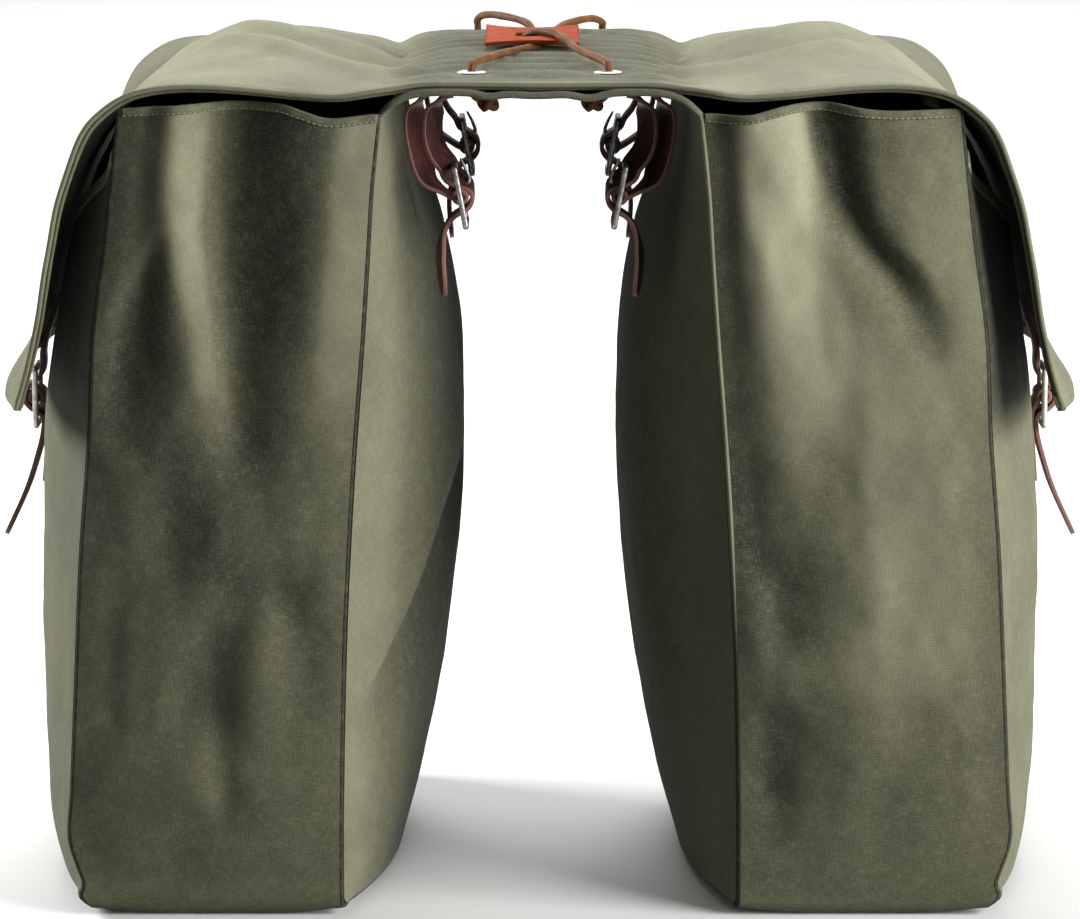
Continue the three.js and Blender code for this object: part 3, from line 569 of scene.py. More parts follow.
bag = {"half": 160, "top": 408.6, "hemRise": 3.2, "floorBend": 8, "seamLift": 6, "flatFloor": 0.43,
       "endSwell": 7, "swellRise": 60, "endWidth": 130, "canvas": 1.6, "seamInset": 1.1, "cornerInset": 0.8,
       "outerTop": 414, "dentShade": 40, "hemOverhang": 0.4, "hemRound": 0.42}
saddleLine = {  # section of the saddle from the middle down one bag, at its ends and at mid length
    "run": [0, 28, 54, 68, 77, 84, 93, 106, 126, 154, 195, 245, 290, 341, 396, 444, 484],
    "endX": [0, 28, 54, 66, 74, 78.6, 80, 81.5, 83.4, 85.2, 88, 92, 95, 97.6, 99.2, 100, 100],
    "endZ": [417.2, 417.2, 417.2, 415.2, 410.8, 405, 396, 383, 363, 335, 295, 245, 200, 149, 94, 46, 6],
    "midX": [0, 28, 54, 62, 67.5, 70.5, 70.5, 67.5, 62, 51.5, 43.7, 40.7, 41.3, 45.5, 53.5, 63.5, 74],
    "midZ": [417.2, 417.2, 417.2, 415.4, 411.4, 405, 396, 383, 363, 335, 295, 245, 200, 149, 94, 46, 6]}
panelStart = 3  # first row of the saddle that hangs below the bridge
outerLine = {
    "height": [0, 12, 26, 42, 67, 124, 185, 245, 295, 345, 391, 415],
    "end": [222.5, 227, 233, 237, 235.3, 232.3, 229, 224, 221.3, 214.4, 209.2, 206.5],
    "mid": [250, 253.5, 256, 257.5, 259, 261.3, 261.6, 258.5, 252, 241, 227, 215]}
strapPress = {"along": (0, 40, 4), "up": (231, 60)}  # humps: middle, width and how far
footCorner = {"up": (10, 5, 5.5), "ends": (138, 20)}
endHem = {
    "left": {"share": [0, 0.18, 0.3, 0.42, 0.7, 1], "drop": [5.5, 7.5, 4, 0.5, 0.5, 3]},
    "right": {"share": [0, 0.18, 0.35, 0.5, 0.7, 1], "drop": [5.5, 5.5, 1, 0.2, 3.5, 3]}}

# folds of the bag ends, seen from outside: heights up, across to the right, a ridge has a negative depth
endFolds = {
    "left": [
        fold([205, 235, 265, 295, 325, 357, 384, 420], [16, 11, 6, 2, -3, -7, -9, -10],
             [12, 12, 12, 13, 14, 15, 15, 15], [16, 18, 22, 26, 29, 30, 29, 28],
             [0, 5, 10, 15, 17, 17, 17, 17], (1, 1)),
        fold([320, 350, 384, 420], [-32, -33, -36, -37], 9, 8, -2.6, (40, 1)),
        fold([330, 360, 400], [-47, -48, -48], 6, 7, 1.6, (30, 20)),
        fold([230, 250, 270, 290, 310, 330, 350], [-50, -50, -49, -47, -45, -42, -39],
             [12, 12, 12, 11, 10, 8, 6], [17, 18, 19, 18, 14, 9, 5], [0, 4, 8.5, 9.5, 8, 4.5, 0], (1, 1)),
        fold([190, 206, 222], [-24, -22, -20], 16, 20, 3, (30, 30)),
        fold([106, 132, 150, 164], [-6, -1, 7, 15], 15, 17, 4, (34, 22)),
        fold([118, 146, 166], [46, 44, 36], 11, 13, 3, (34, 20)),
        fold([168, 176], [24, 24], 20, 20, 1, (18, 18)),
        fold([110, 133, 150], [27, 25, 26], 12, 12, -1.2, (30, 24)),
        fold([56, 80, 104], [10, 7, 5], 7, 10, 2.6, (22, 30)),
        fold([66, 90], [-4, -3], 10, 9, -1.3, (26, 26)),
        fold([26, 33, 42], [-12, -11, -7], 12, 17, 3.4, (16, 20)),
        fold([112, 133, 158], [-50, -50, -49], 7, 10, 0.9, (30, 30))],
    "right": [
        fold([280, 298, 312, 328, 342, 360, 385, 420], [40, 36, 31, 22, 11, 3, -1, -4],
             [9, 10, 11, 13, 14, 15, 16, 16], [9, 10, 11, 11, 10, 10, 11, 12],
             [0, 3.5, 6, 8, 10, 12, 12, 12], (1, 1)),
        fold([240, 300, 350, 384, 420], [-41, -41, -42, -41, -40], 15, 18,
             [-2, -3.5, -4.5, -4.5, -4.5], (70, 1)),
        fold([300, 330, 355, 389, 420], [-60, -60, -59, -58, -58], 10, 9, [1, 2.4, 3, 3, 3], (60, 1)),
        fold([130, 195, 270], [3, 4, 4], 7, 7, -0.6, (70, 60)),
        fold([150, 160, 172], [-42, -42, -43], 13, 19, 4.2, (28, 28)),
        fold([146, 155, 165], [-59, -59, -60], 8, 8, -2.4, (24, 24)),
        fold([188, 205, 222], [-57, -56, -56], 10, 14, 2.6, (32, 32)),
        fold([205, 235, 262], [-22, -14, -8], 14, 20, 2.2, (40, 40)),
        fold([76, 87, 98], [-51, -50, -49], 12, 17, 3.4, (22, 22)),
        fold([44, 52, 60], [-51, -50, -49], 12, 15, 2.6, (18, 18)),
        fold([35, 48, 60], [6, 8, 11], 20, 24, 2.4, (22, 30)),
        fold([30, 60, 90], [-14, -14, -12], 12, 12, -1.4, (24, 44))]}
# painted shade where the folds of the bag ends lie in shade, and painted highlight (negative) where the
# ridges catch the light
endPaintedLight = {
    "left": [
        fold([195, 235, 265, 295, 325, 360, 420], [10, 18, 22, 22, 20, 18, 17], [14, 14, 14, 17, 20, 22, 22],
             [14, 14, 16, 19, 21, 22, 21], [0, 0.35, 0.5, 0.7, 0.85, 0.92, 0.9], (1, 1)),
        fold([235, 262, 290, 320, 350, 380, 420], [-1, -6, -12, -19, -27, -28, -27], [6, 7, 8, 9, 10, 11, 11],
             [5, 6, 7, 8, 9, 10, 10], [0, -0.2, -0.35, -0.5, -0.8, -0.6, -0.5], (1, 1)),
        fold([200, 250, 300, 340, 380, 420], [-64, -64, -62, -59, -57, -56], 14, [12, 12, 12, 12, 12, 11],
             [0.2, 0.4, 0.5, 0.6, 0.62, 0.6], (40, 1)),
        fold([238, 258, 280, 300, 318, 338], [-44, -43, -41, -40, -39, -38], [17, 19, 20, 18, 12, 5],
             [13, 17, 19, 18, 12, 5], [0, 0.4, 0.62, 0.68, 0.55, 0], (1, 1)),
        fold([296, 318, 346], [-60, -53, -40], 5, 5, [-0.15, -0.4, -0.4], (14, 10)),
        fold([220, 300, 420], [58, 59, 59], 16, 14, [-0.1, -0.6, -0.6], (70, 1)),
        fold([178, 206, 236], [-4, -14, -30], 20, 24, 0.36, (24, 24)),
        fold([20, 120, 180, 240], 0, 90, 90, [0.2, 0.28, 0.4, 0.35], (1, 40)),
        fold([108, 134, 152, 166], [-4, 0, 8, 17], 11, 12, 0.24, (26, 16)),
        fold([124, 148, 168], [46, 45, 37], 8, 9, 0.2, (26, 16))],
    "right": [
        fold([278, 290, 300, 312, 326, 340, 354, 368, 395, 420],
             [39.5, 39.5, 38.5, 37, 31, 21, 12.5, 7.5, 4, 3],
             [8, 9, 10, 10, 11, 11, 10, 11, 15, 16], [7, 8, 9, 9, 9.5, 9.5, 9, 10, 15, 16],
             [0, 0.3, 0.45, 0.5, 0.52, 0.56, 0.62, 0.7, 0.78, 0.78], (1, 1)),
        fold([372, 388, 420], [1, -3, -5], 8, 8, 0.5, (14, 1)),
        fold([230, 280, 330, 360, 420], [-18, -22, -28, -31, -28], [26, 26, 22, 18, 18], [26, 24, 20, 19, 19],
             [-0.1, -0.5, -1.1, -1.3, -1.2], (60, 1)),
        fold([150, 200, 260, 320, 370, 420], [-66, -65, -65, -64, -62, -61], 13, 13,
             [0.55, 0.65, 0.65, 0.5, 0.55, 0.55], (60, 1)),
        fold([240, 300, 420], [47, 48, 47], 17, 24, [-0.1, -0.2, -0.2], (70, 1)),
        fold([140, 220, 270], [16, 14, 8], 30, 32, -0.32, (60, 50)),
        fold([145, 160, 176], [-44, -43, -45], 15, 19, 0.5, (22, 22)),
        fold([190, 206, 222], [-58, -57, -57], 10, 13, 0.3, (22, 22)),
        fold([205, 232, 258], [-24, -16, -8], 13, 15, 0.22, (24, 24)),
        fold([70, 87, 102], [-52, -51, -50], 13, 16, 0.45, (18, 18)),
        fold([44, 52, 60], [-51, -50, -49], 12, 14, 0.25, (14, 14)),
        fold([10, 60, 80], 0, 90, 90, 0.24, (1, 70))]}


def innerX(y, z):
    row = rowOf(saddleLine["endZ"][panelStart:], z)
    end, middle = (curveAt(saddleLine[key][panelStart:], row) for key in ("endX", "midX"))
    return blend(end, middle, bulge(y, bag["half"]))


def outerX(y, z):
    row = rowOf(outerLine["height"], z)
    plain = blend(curveAt(outerLine["end"], row), curveAt(outerLine["mid"], row), bulge(y, bag["half"]))
    press = hump(y, *strapPress["along"]) * hump(z, *strapPress["up"])
    return plain - press + hump(z, *footCorner["up"]) * ease(np.abs(y), footCorner["ends"])


def pastBend(y):  # how far into the bend at the floor's ends, 0 to 1
    return np.maximum(0, np.abs(y) - bag["half"] + bag["floorBend"]) / bag["floorBend"]


def seamFloor(y):  # height of the seams round the floor, which rise at its ends
    past, bend = pastBend(y), bag["floorBend"]
    curve = bend - bend * np.sqrt(np.maximum(0, 1 - past ** 2))
    return bag["canvas"] / 2 + curve + (bag["seamLift"] - 1) * (1 - past)


def panelFloor(y):
    past = np.minimum(0.95, pastBend(y))  # short of the end, where the bend is upright
    return seamFloor(y) + (bag["seamInset"] + bag["cornerInset"] * past) / np.sqrt(1 - past ** 2)


gussetEnd = bag["top"] - bag["floorBend"]  # lengths of the end, the bend and the floor of a gusset
gussetBend = bag["floorBend"] * math.pi / 2
gussetFloor = 2 * (bag["half"] - bag["floorBend"])
gussetLength = 2 * (gussetEnd + gussetBend) + gussetFloor


def gussetLay(side, inset):  # one gusset, from the hem at its rear end down, along the floor and up
    hem = endHem["right" if side > 0 else "left"]
    bend = bag["floorBend"]
    low = bend + bag["canvas"] / 2

    def lay(share, run):
        fromHem = np.minimum(run, 1 - run) * gussetLength
        end = np.where(run > 0.5, 1.0, -1.0)
        top = bag["top"] + bag["hemRise"] - curveAt(hem["drop"], rowOf(hem["share"], share))
        turn = fade(fromHem - gussetEnd, gussetBend) * math.pi / 2
        onFloor = np.clip(fromHem - gussetEnd - gussetBend, 0, None)
        upright = np.cos(turn)
        z = np.where(fromHem <= gussetEnd, blend(top, low, fromHem / gussetEnd), low - bend * np.sin(turn))
        y = end * (bag["half"] - bend + bend * upright - onFloor)
        rim = np.maximum(0, (np.abs(2 * share - 1) - bag["flatFloor"]) / (1 - bag["flatFloor"])) ** 2
        z = z + (bag["seamLift"] - 1) * rim * (1 - upright)
        inner = innerX(y, np.minimum(z, bag["top"])) + inset
        outer = outerX(y, np.minimum(z, bag["outerTop"])) - inset
        across = (share - 0.5) * (outer - inner) * -end * side
        asRight = side * end < 0
        dent = np.where(asRight, *(foldDepth(endFolds[key], across, z) for key in ("right", "left")))
        # painted shade from the dark fold tables and deeper in the dents, painted highlight where a table is
        # negative
        tone = np.where(asRight, *(foldDepth(endPaintedLight[key], across, z, 4) for key in ("right", "left")))
        swell = 4 * share * (1 - share)
        uneven = unevenness("end", across, z, (3 + side, 5 + side), (7 * end, 5 * end))
        out = bag["endSwell"] * swell + (uneven - dent) * np.minimum(1, 3 * swell)
        out = out * fade(z - bend, bag["swellRise"])
        points = np.stack([side * blend(inner, outer, share), y + end * out * upright, z], 1)
        return points, np.clip(-(tone + dent / bag["dentShade"]) * upright, -1, 1)

    return lay


def hemTube(name, edge, inward, out, depth, thickness, wear=0.0):  # a narrow turned hem along an edge
    profile = flatProfile(depth, thickness, thickness * bag["hemRound"])
    return makeTube(name, edge + inward * (depth / 2 - bag["hemOverhang"]), out, profile, wear=wear)


def sewHem(name, edge, beside, outward, hem):
    inward, out = edgeFrame(edge, beside, outward)
    thickness = bag["canvas"] + hem["thicker"]
    dress(hemTube(name, edge, inward, out, hem["deep"], thickness, hem["wear"]), hemCanvas, "canvas")
    seam = edge + inward * hem["stitch"] + out * (thickness / 2 + thread["above"])
    dress(sewLine(name + "Stitches", seam, out), paleThread, "canvas")


gussetHem = {"deep": 4.8, "thicker": 1.2, "stitch": 3.5, "wear": 0.0,
             "points": 90, "trim": 0.012, "look": 0.004}


def buildGusset(sideName, side):
    lay = gussetLay(side, bag["seamInset"])
    cloth = makeCloth(sideName + "GussetCloth", 46, 400, lay, bag["canvas"], (bag["endWidth"], gussetLength))
    dress(cloth, canvas, "canvas", sideName + "_gusset")
    share = np.linspace(gussetHem["trim"], 1 - gussetHem["trim"], gussetHem["points"])
    for endName, run, end in (("Rear", 0.0, -1), ("Front", 1.0, 1)):
        inside = run - end * gussetHem["look"]
        edge, below = (lay(share, np.full(len(share), spot))[0] for spot in (run, inside))
        sewHem(sideName + endName + "Hem", edge, below, (0, end, 0), gussetHem)


for sideName, side in bothSides:
    buildGusset(sideName, side)
print("pannier: bag ends sewn")

innerFolds = [  # folds of the left bag's inner panel, along the bag, with heights across the fold
    fold([-145, -110, -77, -40, -10], [92, 125, 165, 192, 205], 36, 17, [5, 9, 10, 8, 0], (8, 1)),
    fold([-140, -110, -77, -50], [128, 160, 202, 226], 20, 22, -2.5, (8, 30)),
    fold([60, 110, 150], [250, 230, 205], 18, 24, 4, (40, 10))]
innerHold = {"ends": 26, "top": 386, "topFade": 60, "foot": 8, "footFade": 40}
bridgeLumps = [(-25, 6, 1.8), (-2, 16, 1.4), (24, 8, 2.6)]  # where the saddle's edge sags: across, wide, deep
sagEnds = {"rows": 1.5, "along": (120, 36)}
innerPaintedLight = {"paintedHighlight": 0.3, "leftPaintedShade": -0.7, "rightPaintedShade": -0.15,  # painted highlight, pale at the ends, and painted shade, dark between the bags
             "between": (150, -90), "below": (400, -40)}
saddleCut = (968, 317)  # flat width and length of the saddle
bridgeEdge = {"reach": 4, "within": (80, -16)}  # how far the bridge reaches past the bags' ends


def bridgeSag(x):
    return sum(hump(x, *lump) for lump in bridgeLumps)


def saddlePoint(row, side, y):
    full = bulge(y, bag["half"])
    x = blend(curveAt(saddleLine["endX"], row), curveAt(saddleLine["midX"], row), full)
    z = blend(curveAt(saddleLine["endZ"], row), curveAt(saddleLine["midZ"], row), full)
    hold = fade(bag["half"] - np.abs(y), innerHold["ends"]) * fade(innerHold["top"] - z, innerHold["topFade"])
    hold = hold * fade(z - innerHold["foot"], innerHold["footFade"])
    dent = np.where(side < 0, foldDepth(innerFolds, z, y), 0) + unevenness("inner", y, z, (11 + side, 13))
    sag = bridgeSag(x * side) * fade(panelStart - row, sagEnds["rows"]) * ease(np.abs(y), sagEnds["along"])
    return np.stack([side * (x + dent * hold), y, z - sag], 1)


def saddleLay(share, along):
    edge = bag["half"] - bag["seamInset"]
    y = blend(-edge, edge, along)
    rows = np.arange(len(saddleLine["run"]))
    lowest = rowOf(saddleLine["endZ"][panelStart:], panelFloor(y)) + panelStart
    run = np.abs(2 * share - 1) * np.interp(lowest, rows, saddleLine["run"])
    points = saddlePoint(np.interp(run, saddleLine["run"], rows), np.where(share < 0.5, -1.0, 1.0), y)
    points[:, 1] *= 1 + bridgeEdge["reach"] / edge * ease(run, bridgeEdge["within"])
    # painted shade between the bags and low down, painted highlight elsewhere
    deep = ease(np.abs(points[:, 1]), innerPaintedLight["between"]) * ease(points[:, 2], innerPaintedLight["below"])
    paintedShadeBetween = np.where(points[:, 0] < 0, innerPaintedLight["leftPaintedShade"], innerPaintedLight["rightPaintedShade"])
    return points, blend(innerPaintedLight["paintedHighlight"], paintedShadeBetween, deep)


saddle = makeCloth("saddleCloth", 320, 106, saddleLay, bag["canvas"], saddleCut)
dress(saddle, canvas, "canvas", "saddle")

# painted highlight over the outer panel, and painted shadow under the flap, higher up
outerPanel = {"top": 390, "sag": 45, "sagEnd": (90, -70), "holdEnds": 24, "tuck": 2, "tuckRise": (355, 20),
              "paintedHighlight": 0.22, "shade": -1.0, "flapShadowRise": (238, 30)}
# the outer hem is set pale, a painted highlight
outerHem = {"deep": 9, "thicker": 1.2, "stitch": 7.2, "wear": 1.0,
            "points": 110, "trim": 0.004, "look": 0.015}


def outerLay(side):
    def lay(along, up):
        half = bag["half"] - bag["seamInset"]
        y = blend(-half, half, along)
        sag = outerPanel["sag"] * bulge(y, bag["half"])  # the far half of the hem stays high
        top = outerPanel["top"] - sag * ease(y, outerPanel["sagEnd"])
        z = blend(panelFloor(y), top, up)
        hold = fade(bag["half"] - np.abs(y), outerPanel["holdEnds"])
        hold = hold * fade(z - innerHold["foot"], innerHold["footFade"])
        tuck = 1 + outerPanel["tuck"] * ease(z, outerPanel["tuckRise"])
        uneven = unevenness("outer", y, z, (21 + side, 23 + side))
        # painted shadow under the flap, higher up the panel
        underFlapShadow = ease(z, outerPanel["flapShadowRise"])
        points = np.stack([side * (outerX(y, z) + (uneven - tuck) * hold), y, z], 1)
        return points, blend(outerPanel["paintedHighlight"], outerPanel["shade"], underFlapShadow)

    return lay


def buildOuter(sideName, side):
    lay = outerLay(side)
    cloth = makeCloth(sideName + "OuterCloth", 106, 124, lay, bag["canvas"], (317, 372))
    dress(cloth, canvas, "canvas", sideName + "_outer_panel")
    along = np.linspace(outerHem["trim"], 1 - outerHem["trim"], outerHem["points"])
    edge, below = (lay(along, np.full(len(along), up))[0] for up in (1.0, 1 - outerHem["look"]))
    sewHem(sideName + "OuterHem", edge, below, (side, 0, 0), outerHem)


for sideName, side in bothSides:
    buildOuter(sideName, side)
print("pannier: panels hung")


# Piped seams: a thin cord sunk between the cloths, and a fuller edge on the bridge

piping = {"radius": 1.25, "sink": 0.56, "corners": 10, "lean": (0.48, 0.6, 0.64), "nearest": 0.5,
          "bridgeRadius": 1.9, "bridgeRise": (406, 7), "bridgeRows": 4, "bridgePoints": 26,
          "seamHighlight": 1.0, "seamSwell": 0.3, "seamRise": (120, 90), "bridgeHighlight": 0.27, "highlightRise": (395, 18)}


def gussetEdge(side, share):
    lay = gussetLay(side, 0)
    half = np.concatenate([np.linspace(0, gussetEnd, 130), gussetEnd + np.linspace(0.08, 1, 12) * gussetBend,
                           gussetEnd + gussetBend + np.linspace(0.02, 0.5, 40) * gussetFloor]) / gussetLength
    run = np.concatenate([half, 1 - half[-2::-1]])
    edge, far = (lay(np.full(len(run), spot), run)[0] for spot in (float(share), 1.0 - share))
    toMiddle = (np.array([0, 0, 200]) - edge) * (0, 1, 1)
    across, inward = edgeFrame(edge, far, toMiddle)
    return edge + (across + inward) * piping["sink"]


def buildPiping():
    profile = roundProfile(piping["radius"], piping["corners"])
    rows = np.linspace(0, piping["bridgeRows"], piping["bridgePoints"])
    leftBridge, rightBridge = (saddlePoint(steps, way, np.full(len(steps), -float(bag["half"])))
                               for steps, way in ((rows[:0:-1], -1.0), (rows, 1.0)))
    rearBridge = np.vstack([leftBridge, rightBridge])
    ring = np.vstack([rearBridge, gussetEdge(1, 0), rearBridge * (-1, -1, 1), gussetEdge(-1, 0)[::-1]])
    ring = ring[np.linalg.norm(ring - np.roll(ring, 1, 0), axis=1) > piping["nearest"]]
    x, z = ring[:, 0], ring[:, 2].copy()
    onBridge = ease(z, piping["bridgeRise"])
    ring[:, 1] += np.sign(ring[:, 1]) * bridgeEdge["reach"] * onBridge
    paintedHighlight = ease(z, piping["seamRise"]) * (x > 0)  # painted highlight on the right bag's seam
    swell = 1 + (piping["bridgeRadius"] / piping["radius"] - 1) * onBridge
    swell = swell + piping["seamSwell"] * paintedHighlight * (1 - onBridge)
    # painted highlight along the right seam and the bridge's edge
    wear = blend(piping["seamHighlight"] * paintedHighlight, piping["bridgeHighlight"], ease(z, piping["highlightRise"]))
    cord = makeTube("saddlePiping", ring, piping["lean"], profile, True, swell[:, None], wear=wear)
    dress(cord, pipingCanvas, "piping", "saddle_piping")
    for sideName, side in bothSides:
        cord = makeTube(sideName + "OuterPiping", gussetEdge(side, 1), piping["lean"], profile)
        dress(cord, pipingCanvas, "piping", sideName + "_outer_piping")


buildPiping()
print("pannier: seams piped")


# The lid

lidLine = {
    "endX": [0, 28, 48, 60, 72, 84, 100, 120, 140, 160, 178, 193, 205, 215, 223.5, 230.5, 236, 240.5, 245,
             249.7, 254.5, 258],
    "endZ": [420.2, 420.4, 420.6, 420.4, 419.4, 417.4, 415.2, 416.2, 418.2, 419.8, 420, 418.4, 414.8, 408.4,
             399.6, 385.6, 368.6, 346.6, 318.6, 292.6, 272.6, 260.6],
    "midX": [0, 28, 48, 60, 73, 88, 104, 121, 138, 154, 168, 181, 193, 206, 218, 229.5, 239.5, 247.2, 253.4,
             258.6, 264.2, 269],
    "midZ": [424.8, 424.8, 423.8, 421.2, 420, 423.6, 428.6, 432.4, 433.6, 432, 428.4, 422.4, 413.8, 404.8,
             394.5, 379.5, 361, 338, 312, 288, 273, 263]}
lidLast = len(lidLine["endX"]) - 1
lidRun = runAlong(np.stack([lidLine["endX"], lidLine["endZ"]], 1))
lid = {"half": 166, "cloth": 2.0, "recess": 4.5, "recessWithin": (92, -30), "holdEnds": 14,
       "topEnd": 12, "topFade": 3, "bridgeEnd": 5, "bridgeFade": 1.6,  # rows where the top and the bridge end
       "ripple": 1.5, "pitch": 27, "wander": 6, "wanderWide": 55, "wanderLong": 60, "drape": 1.45,
       "uneven": 0.6, "unevenWide": 30, "unevenLong": 24,
       "hem": 8, "hemThick": 2.5, "hemWear": 0.3, "facing": 1.8, "facingBack": 2.2,
       "eyeletAcross": 34, "eyeletAlong": 125, "flatRound": 9, "flatFade": 12}
lidLobe = {"along": 104, "wide": 44, "reach": 6.4, "start": 19.3, "curl": 0.66, "drop": 5.5}
# beside the bridge, deeper and further out towards the front
lidGroove = {"along": [-166, -120, 0, 166], "deep": [0.4, 2, 3, 5.5], "rear": 71, "front": 78, "wide": 9}
lidShoulder = {"rows": (11, 2.6), "near": (-5, 32, 4), "far": (70, 28, 15), "out": 0.5, "up": 0.85,
               "cornerRows": (9.5, 2.2), "cornerDrop": 4.5, "cornerEnd": (95, 40)}
lidRidge = {"along": (101, 10, 2.6), "drop": 1.5, "dropEnd": (112, 10)}  # hides the front eyelets
# painted light on the lid: tops palest, bridge darker, painted shade on the front lobe
lidPaintedLight = {"reach": [0, 56, 80, 200, 260, 374], "share": [0.04, 0.08, 0.66, 0.73, 0.38, 0.3],
             "frontLobePaintedShade": 0.45, "lobeEnd": (66, 20), "lobeReach": 205, "lobeWide": 55}
lidFolds = {  # drapes on the tops, along |x|, with y across the fold
    -1: [fold([66, 90, 125, 160], [-104, -116, -84, -44], 15, 17, -3.4, (8, 20)),
         fold([72, 100, 140], [-66, -68, -30], 18, 16, 3.0, (12, 30)),
         fold([78, 110, 150], [-26, -34, 4], 17, 17, -2.6, (12, 26)),
         fold([76, 110, 140], [40, 30, 50], 20, 20, 2.4, (12, 30)),
         fold([155, 178], [-118, -121], 18, 18, 2.2, (20, 24))],
    1: [fold([66, 92, 130, 165], [-96, -110, -92, -58], 16, 16, -3.2, (8, 20)),
        fold([72, 104, 150], [-58, -70, -46], 17, 16, 3.2, (12, 26)),
        fold([80, 118, 150], [-18, -22, -4], 18, 18, -2.8, (12, 26)),
        fold([80, 120, 150], [46, 40, 36], 20, 20, 2.6, (12, 30)),
        fold([150, 182], [-124, -112], 16, 18, 2.0, (20, 22))]}


def lidSlump(row, y):  # the top sinks over its far half and stands up a little over its near half
    near, far = (hump(y, *lidShoulder[key]) for key in ("near", "far"))
    corner = lidShoulder["cornerDrop"] * hump(row, *lidShoulder["cornerRows"])
    return hump(row, *lidShoulder["rows"]) * (near - far) - corner * ease(y, lidShoulder["cornerEnd"])


def lidPoint(row, side, y):
    full = bulge(y, lid["half"])
    grown = fade(row - lidLobe["start"], lidLast - lidLobe["start"])
    inLobe = hump(np.abs(y), lidLobe["along"], lidLobe["wide"])
    x = blend(curveAt(lidLine["endX"], row), curveAt(lidLine["midX"], row), full)
    x = x + lidLobe["reach"] * inLobe * np.sin(lidLobe["curl"] * math.pi * grown) ** 1.3
    z = blend(curveAt(lidLine["endZ"], row), curveAt(lidLine["midZ"], row), full)
    z = z - lidLobe["drop"] * inLobe * grown ** 2
    onTop = fade(lid["topEnd"] - row, lid["topFade"])
    onBridge = fade(lid["bridgeEnd"] - row, lid["bridgeFade"])
    fromEyelet = np.hypot(x - lid["eyeletAcross"], np.abs(y) - lid["eyeletAlong"])
    calm = fade(fromEyelet - lid["flatRound"], lid["flatFade"])  # flat round the eyelets
    wander = lid["wander"] * rumple(x * side / lid["wanderWide"], y / lid["wanderLong"], 31)
    ripple = lid["ripple"] * np.sin(2 * math.pi * (y + wander) / lid["pitch"]) * onBridge * calm
    drape = np.where(side < 0, foldDepth(lidFolds[-1], y, x), foldDepth(lidFolds[1], y, x))
    uneven = lid["uneven"] * rumple(x * side / lid["unevenWide"], y / lid["unevenLong"], 33)
    lift = ripple - lid["drape"] * drape * onTop + uneven * onTop * calm
    lift = lift * fade(lid["half"] - np.abs(y), lid["holdEnds"])
    aside = np.interp(y, [-lid["half"], lid["half"]], [lidGroove["rear"], lidGroove["front"]])
    lift = lift - np.interp(y, lidGroove["along"], lidGroove["deep"]) * hump(x, aside, lidGroove["wide"])
    ridge = hump(y, *lidRidge["along"]) - lidRidge["drop"] * ease(y, lidRidge["dropEnd"])
    slump = lidSlump(row, y)
    hang = (1 - onTop) * unevenness("flap", y, z, (35 + side, 37))
    return np.stack([side * (x + hang + lidShoulder["out"] * slump), y,
                     z + lift + onBridge * ridge + lidShoulder["up"] * slump], 1)


def lidLay(share, along):
    reach = np.abs(2 * share - 1) * lidRun[-1]
    row = np.interp(reach, lidRun, np.arange(lidLast + 1))
    half = lid["half"] - lid["recess"] * ease(reach, lid["recessWithin"])
    points = lidPoint(row, np.where(share < 0.5, -1.0, 1.0), half * (2 * along - 1))
    paintedHighlight = np.interp(reach, lidPaintedLight["reach"], lidPaintedLight["share"])  # painted light: the tops palest, the bridge less
    # painted shade over the front lobe
    frontLobePaintedShade = ease(lid["half"] * (2 * along - 1), lidPaintedLight["lobeEnd"])
    frontLobePaintedShade = frontLobePaintedShade * np.exp(-((reach - lidPaintedLight["lobeReach"]) / lidPaintedLight["lobeWide"]) ** 4)
    return points, paintedHighlight - lidPaintedLight["frontLobePaintedShade"] * frontLobePaintedShade


def buildLid():
    width = 2 * lidRun[-1]
    cloth = makeCloth("lidCloth", 300, 110, lidLay, lid["cloth"], (width, 2 * lid["half"]))
    dress(cloth, canvas, "canvas", "lid")
    trim = []
    acrossLine = np.linspace(0, 1, 420)
    alongLine = np.linspace(0, 1, 150)
    for name, line, at, step in (("lidRearHem", acrossLine, 0.0, 0.03),
                                 ("lidFrontHem", acrossLine, 1.0, -0.03),
                                 ("lidLeftHem", alongLine, 0.0, 0.01),
                                 ("lidRightHem", alongLine, 1.0, -0.01)):
        still = [np.full(len(line), spot) for spot in (at, at + step)]
        edge, beside = (lidLay(*((line, spot) if line is acrossLine else (spot, line)))[0] for spot in still)
        outward = np.sign(edge) * (0.4, 0, 1)
        inward, out = edgeFrame(edge, beside, outward)
        under = edge + (inward - out) * lid["facingBack"]
        trim.append(hemTube(name, edge, inward, out, lid["hem"], lid["hemThick"], lid["hemWear"]))
        trim.append(hemTube(name + "Facing", under, inward, out, lid["hem"] - 2, lid["facing"]))
    for piece in trim:
        dress(piece, hemCanvas, "canvas")


buildLid()
print("pannier: lid laid over")


# Straps, chapes, buckles and prongs: one of each modelled, then copied to both sides and ends

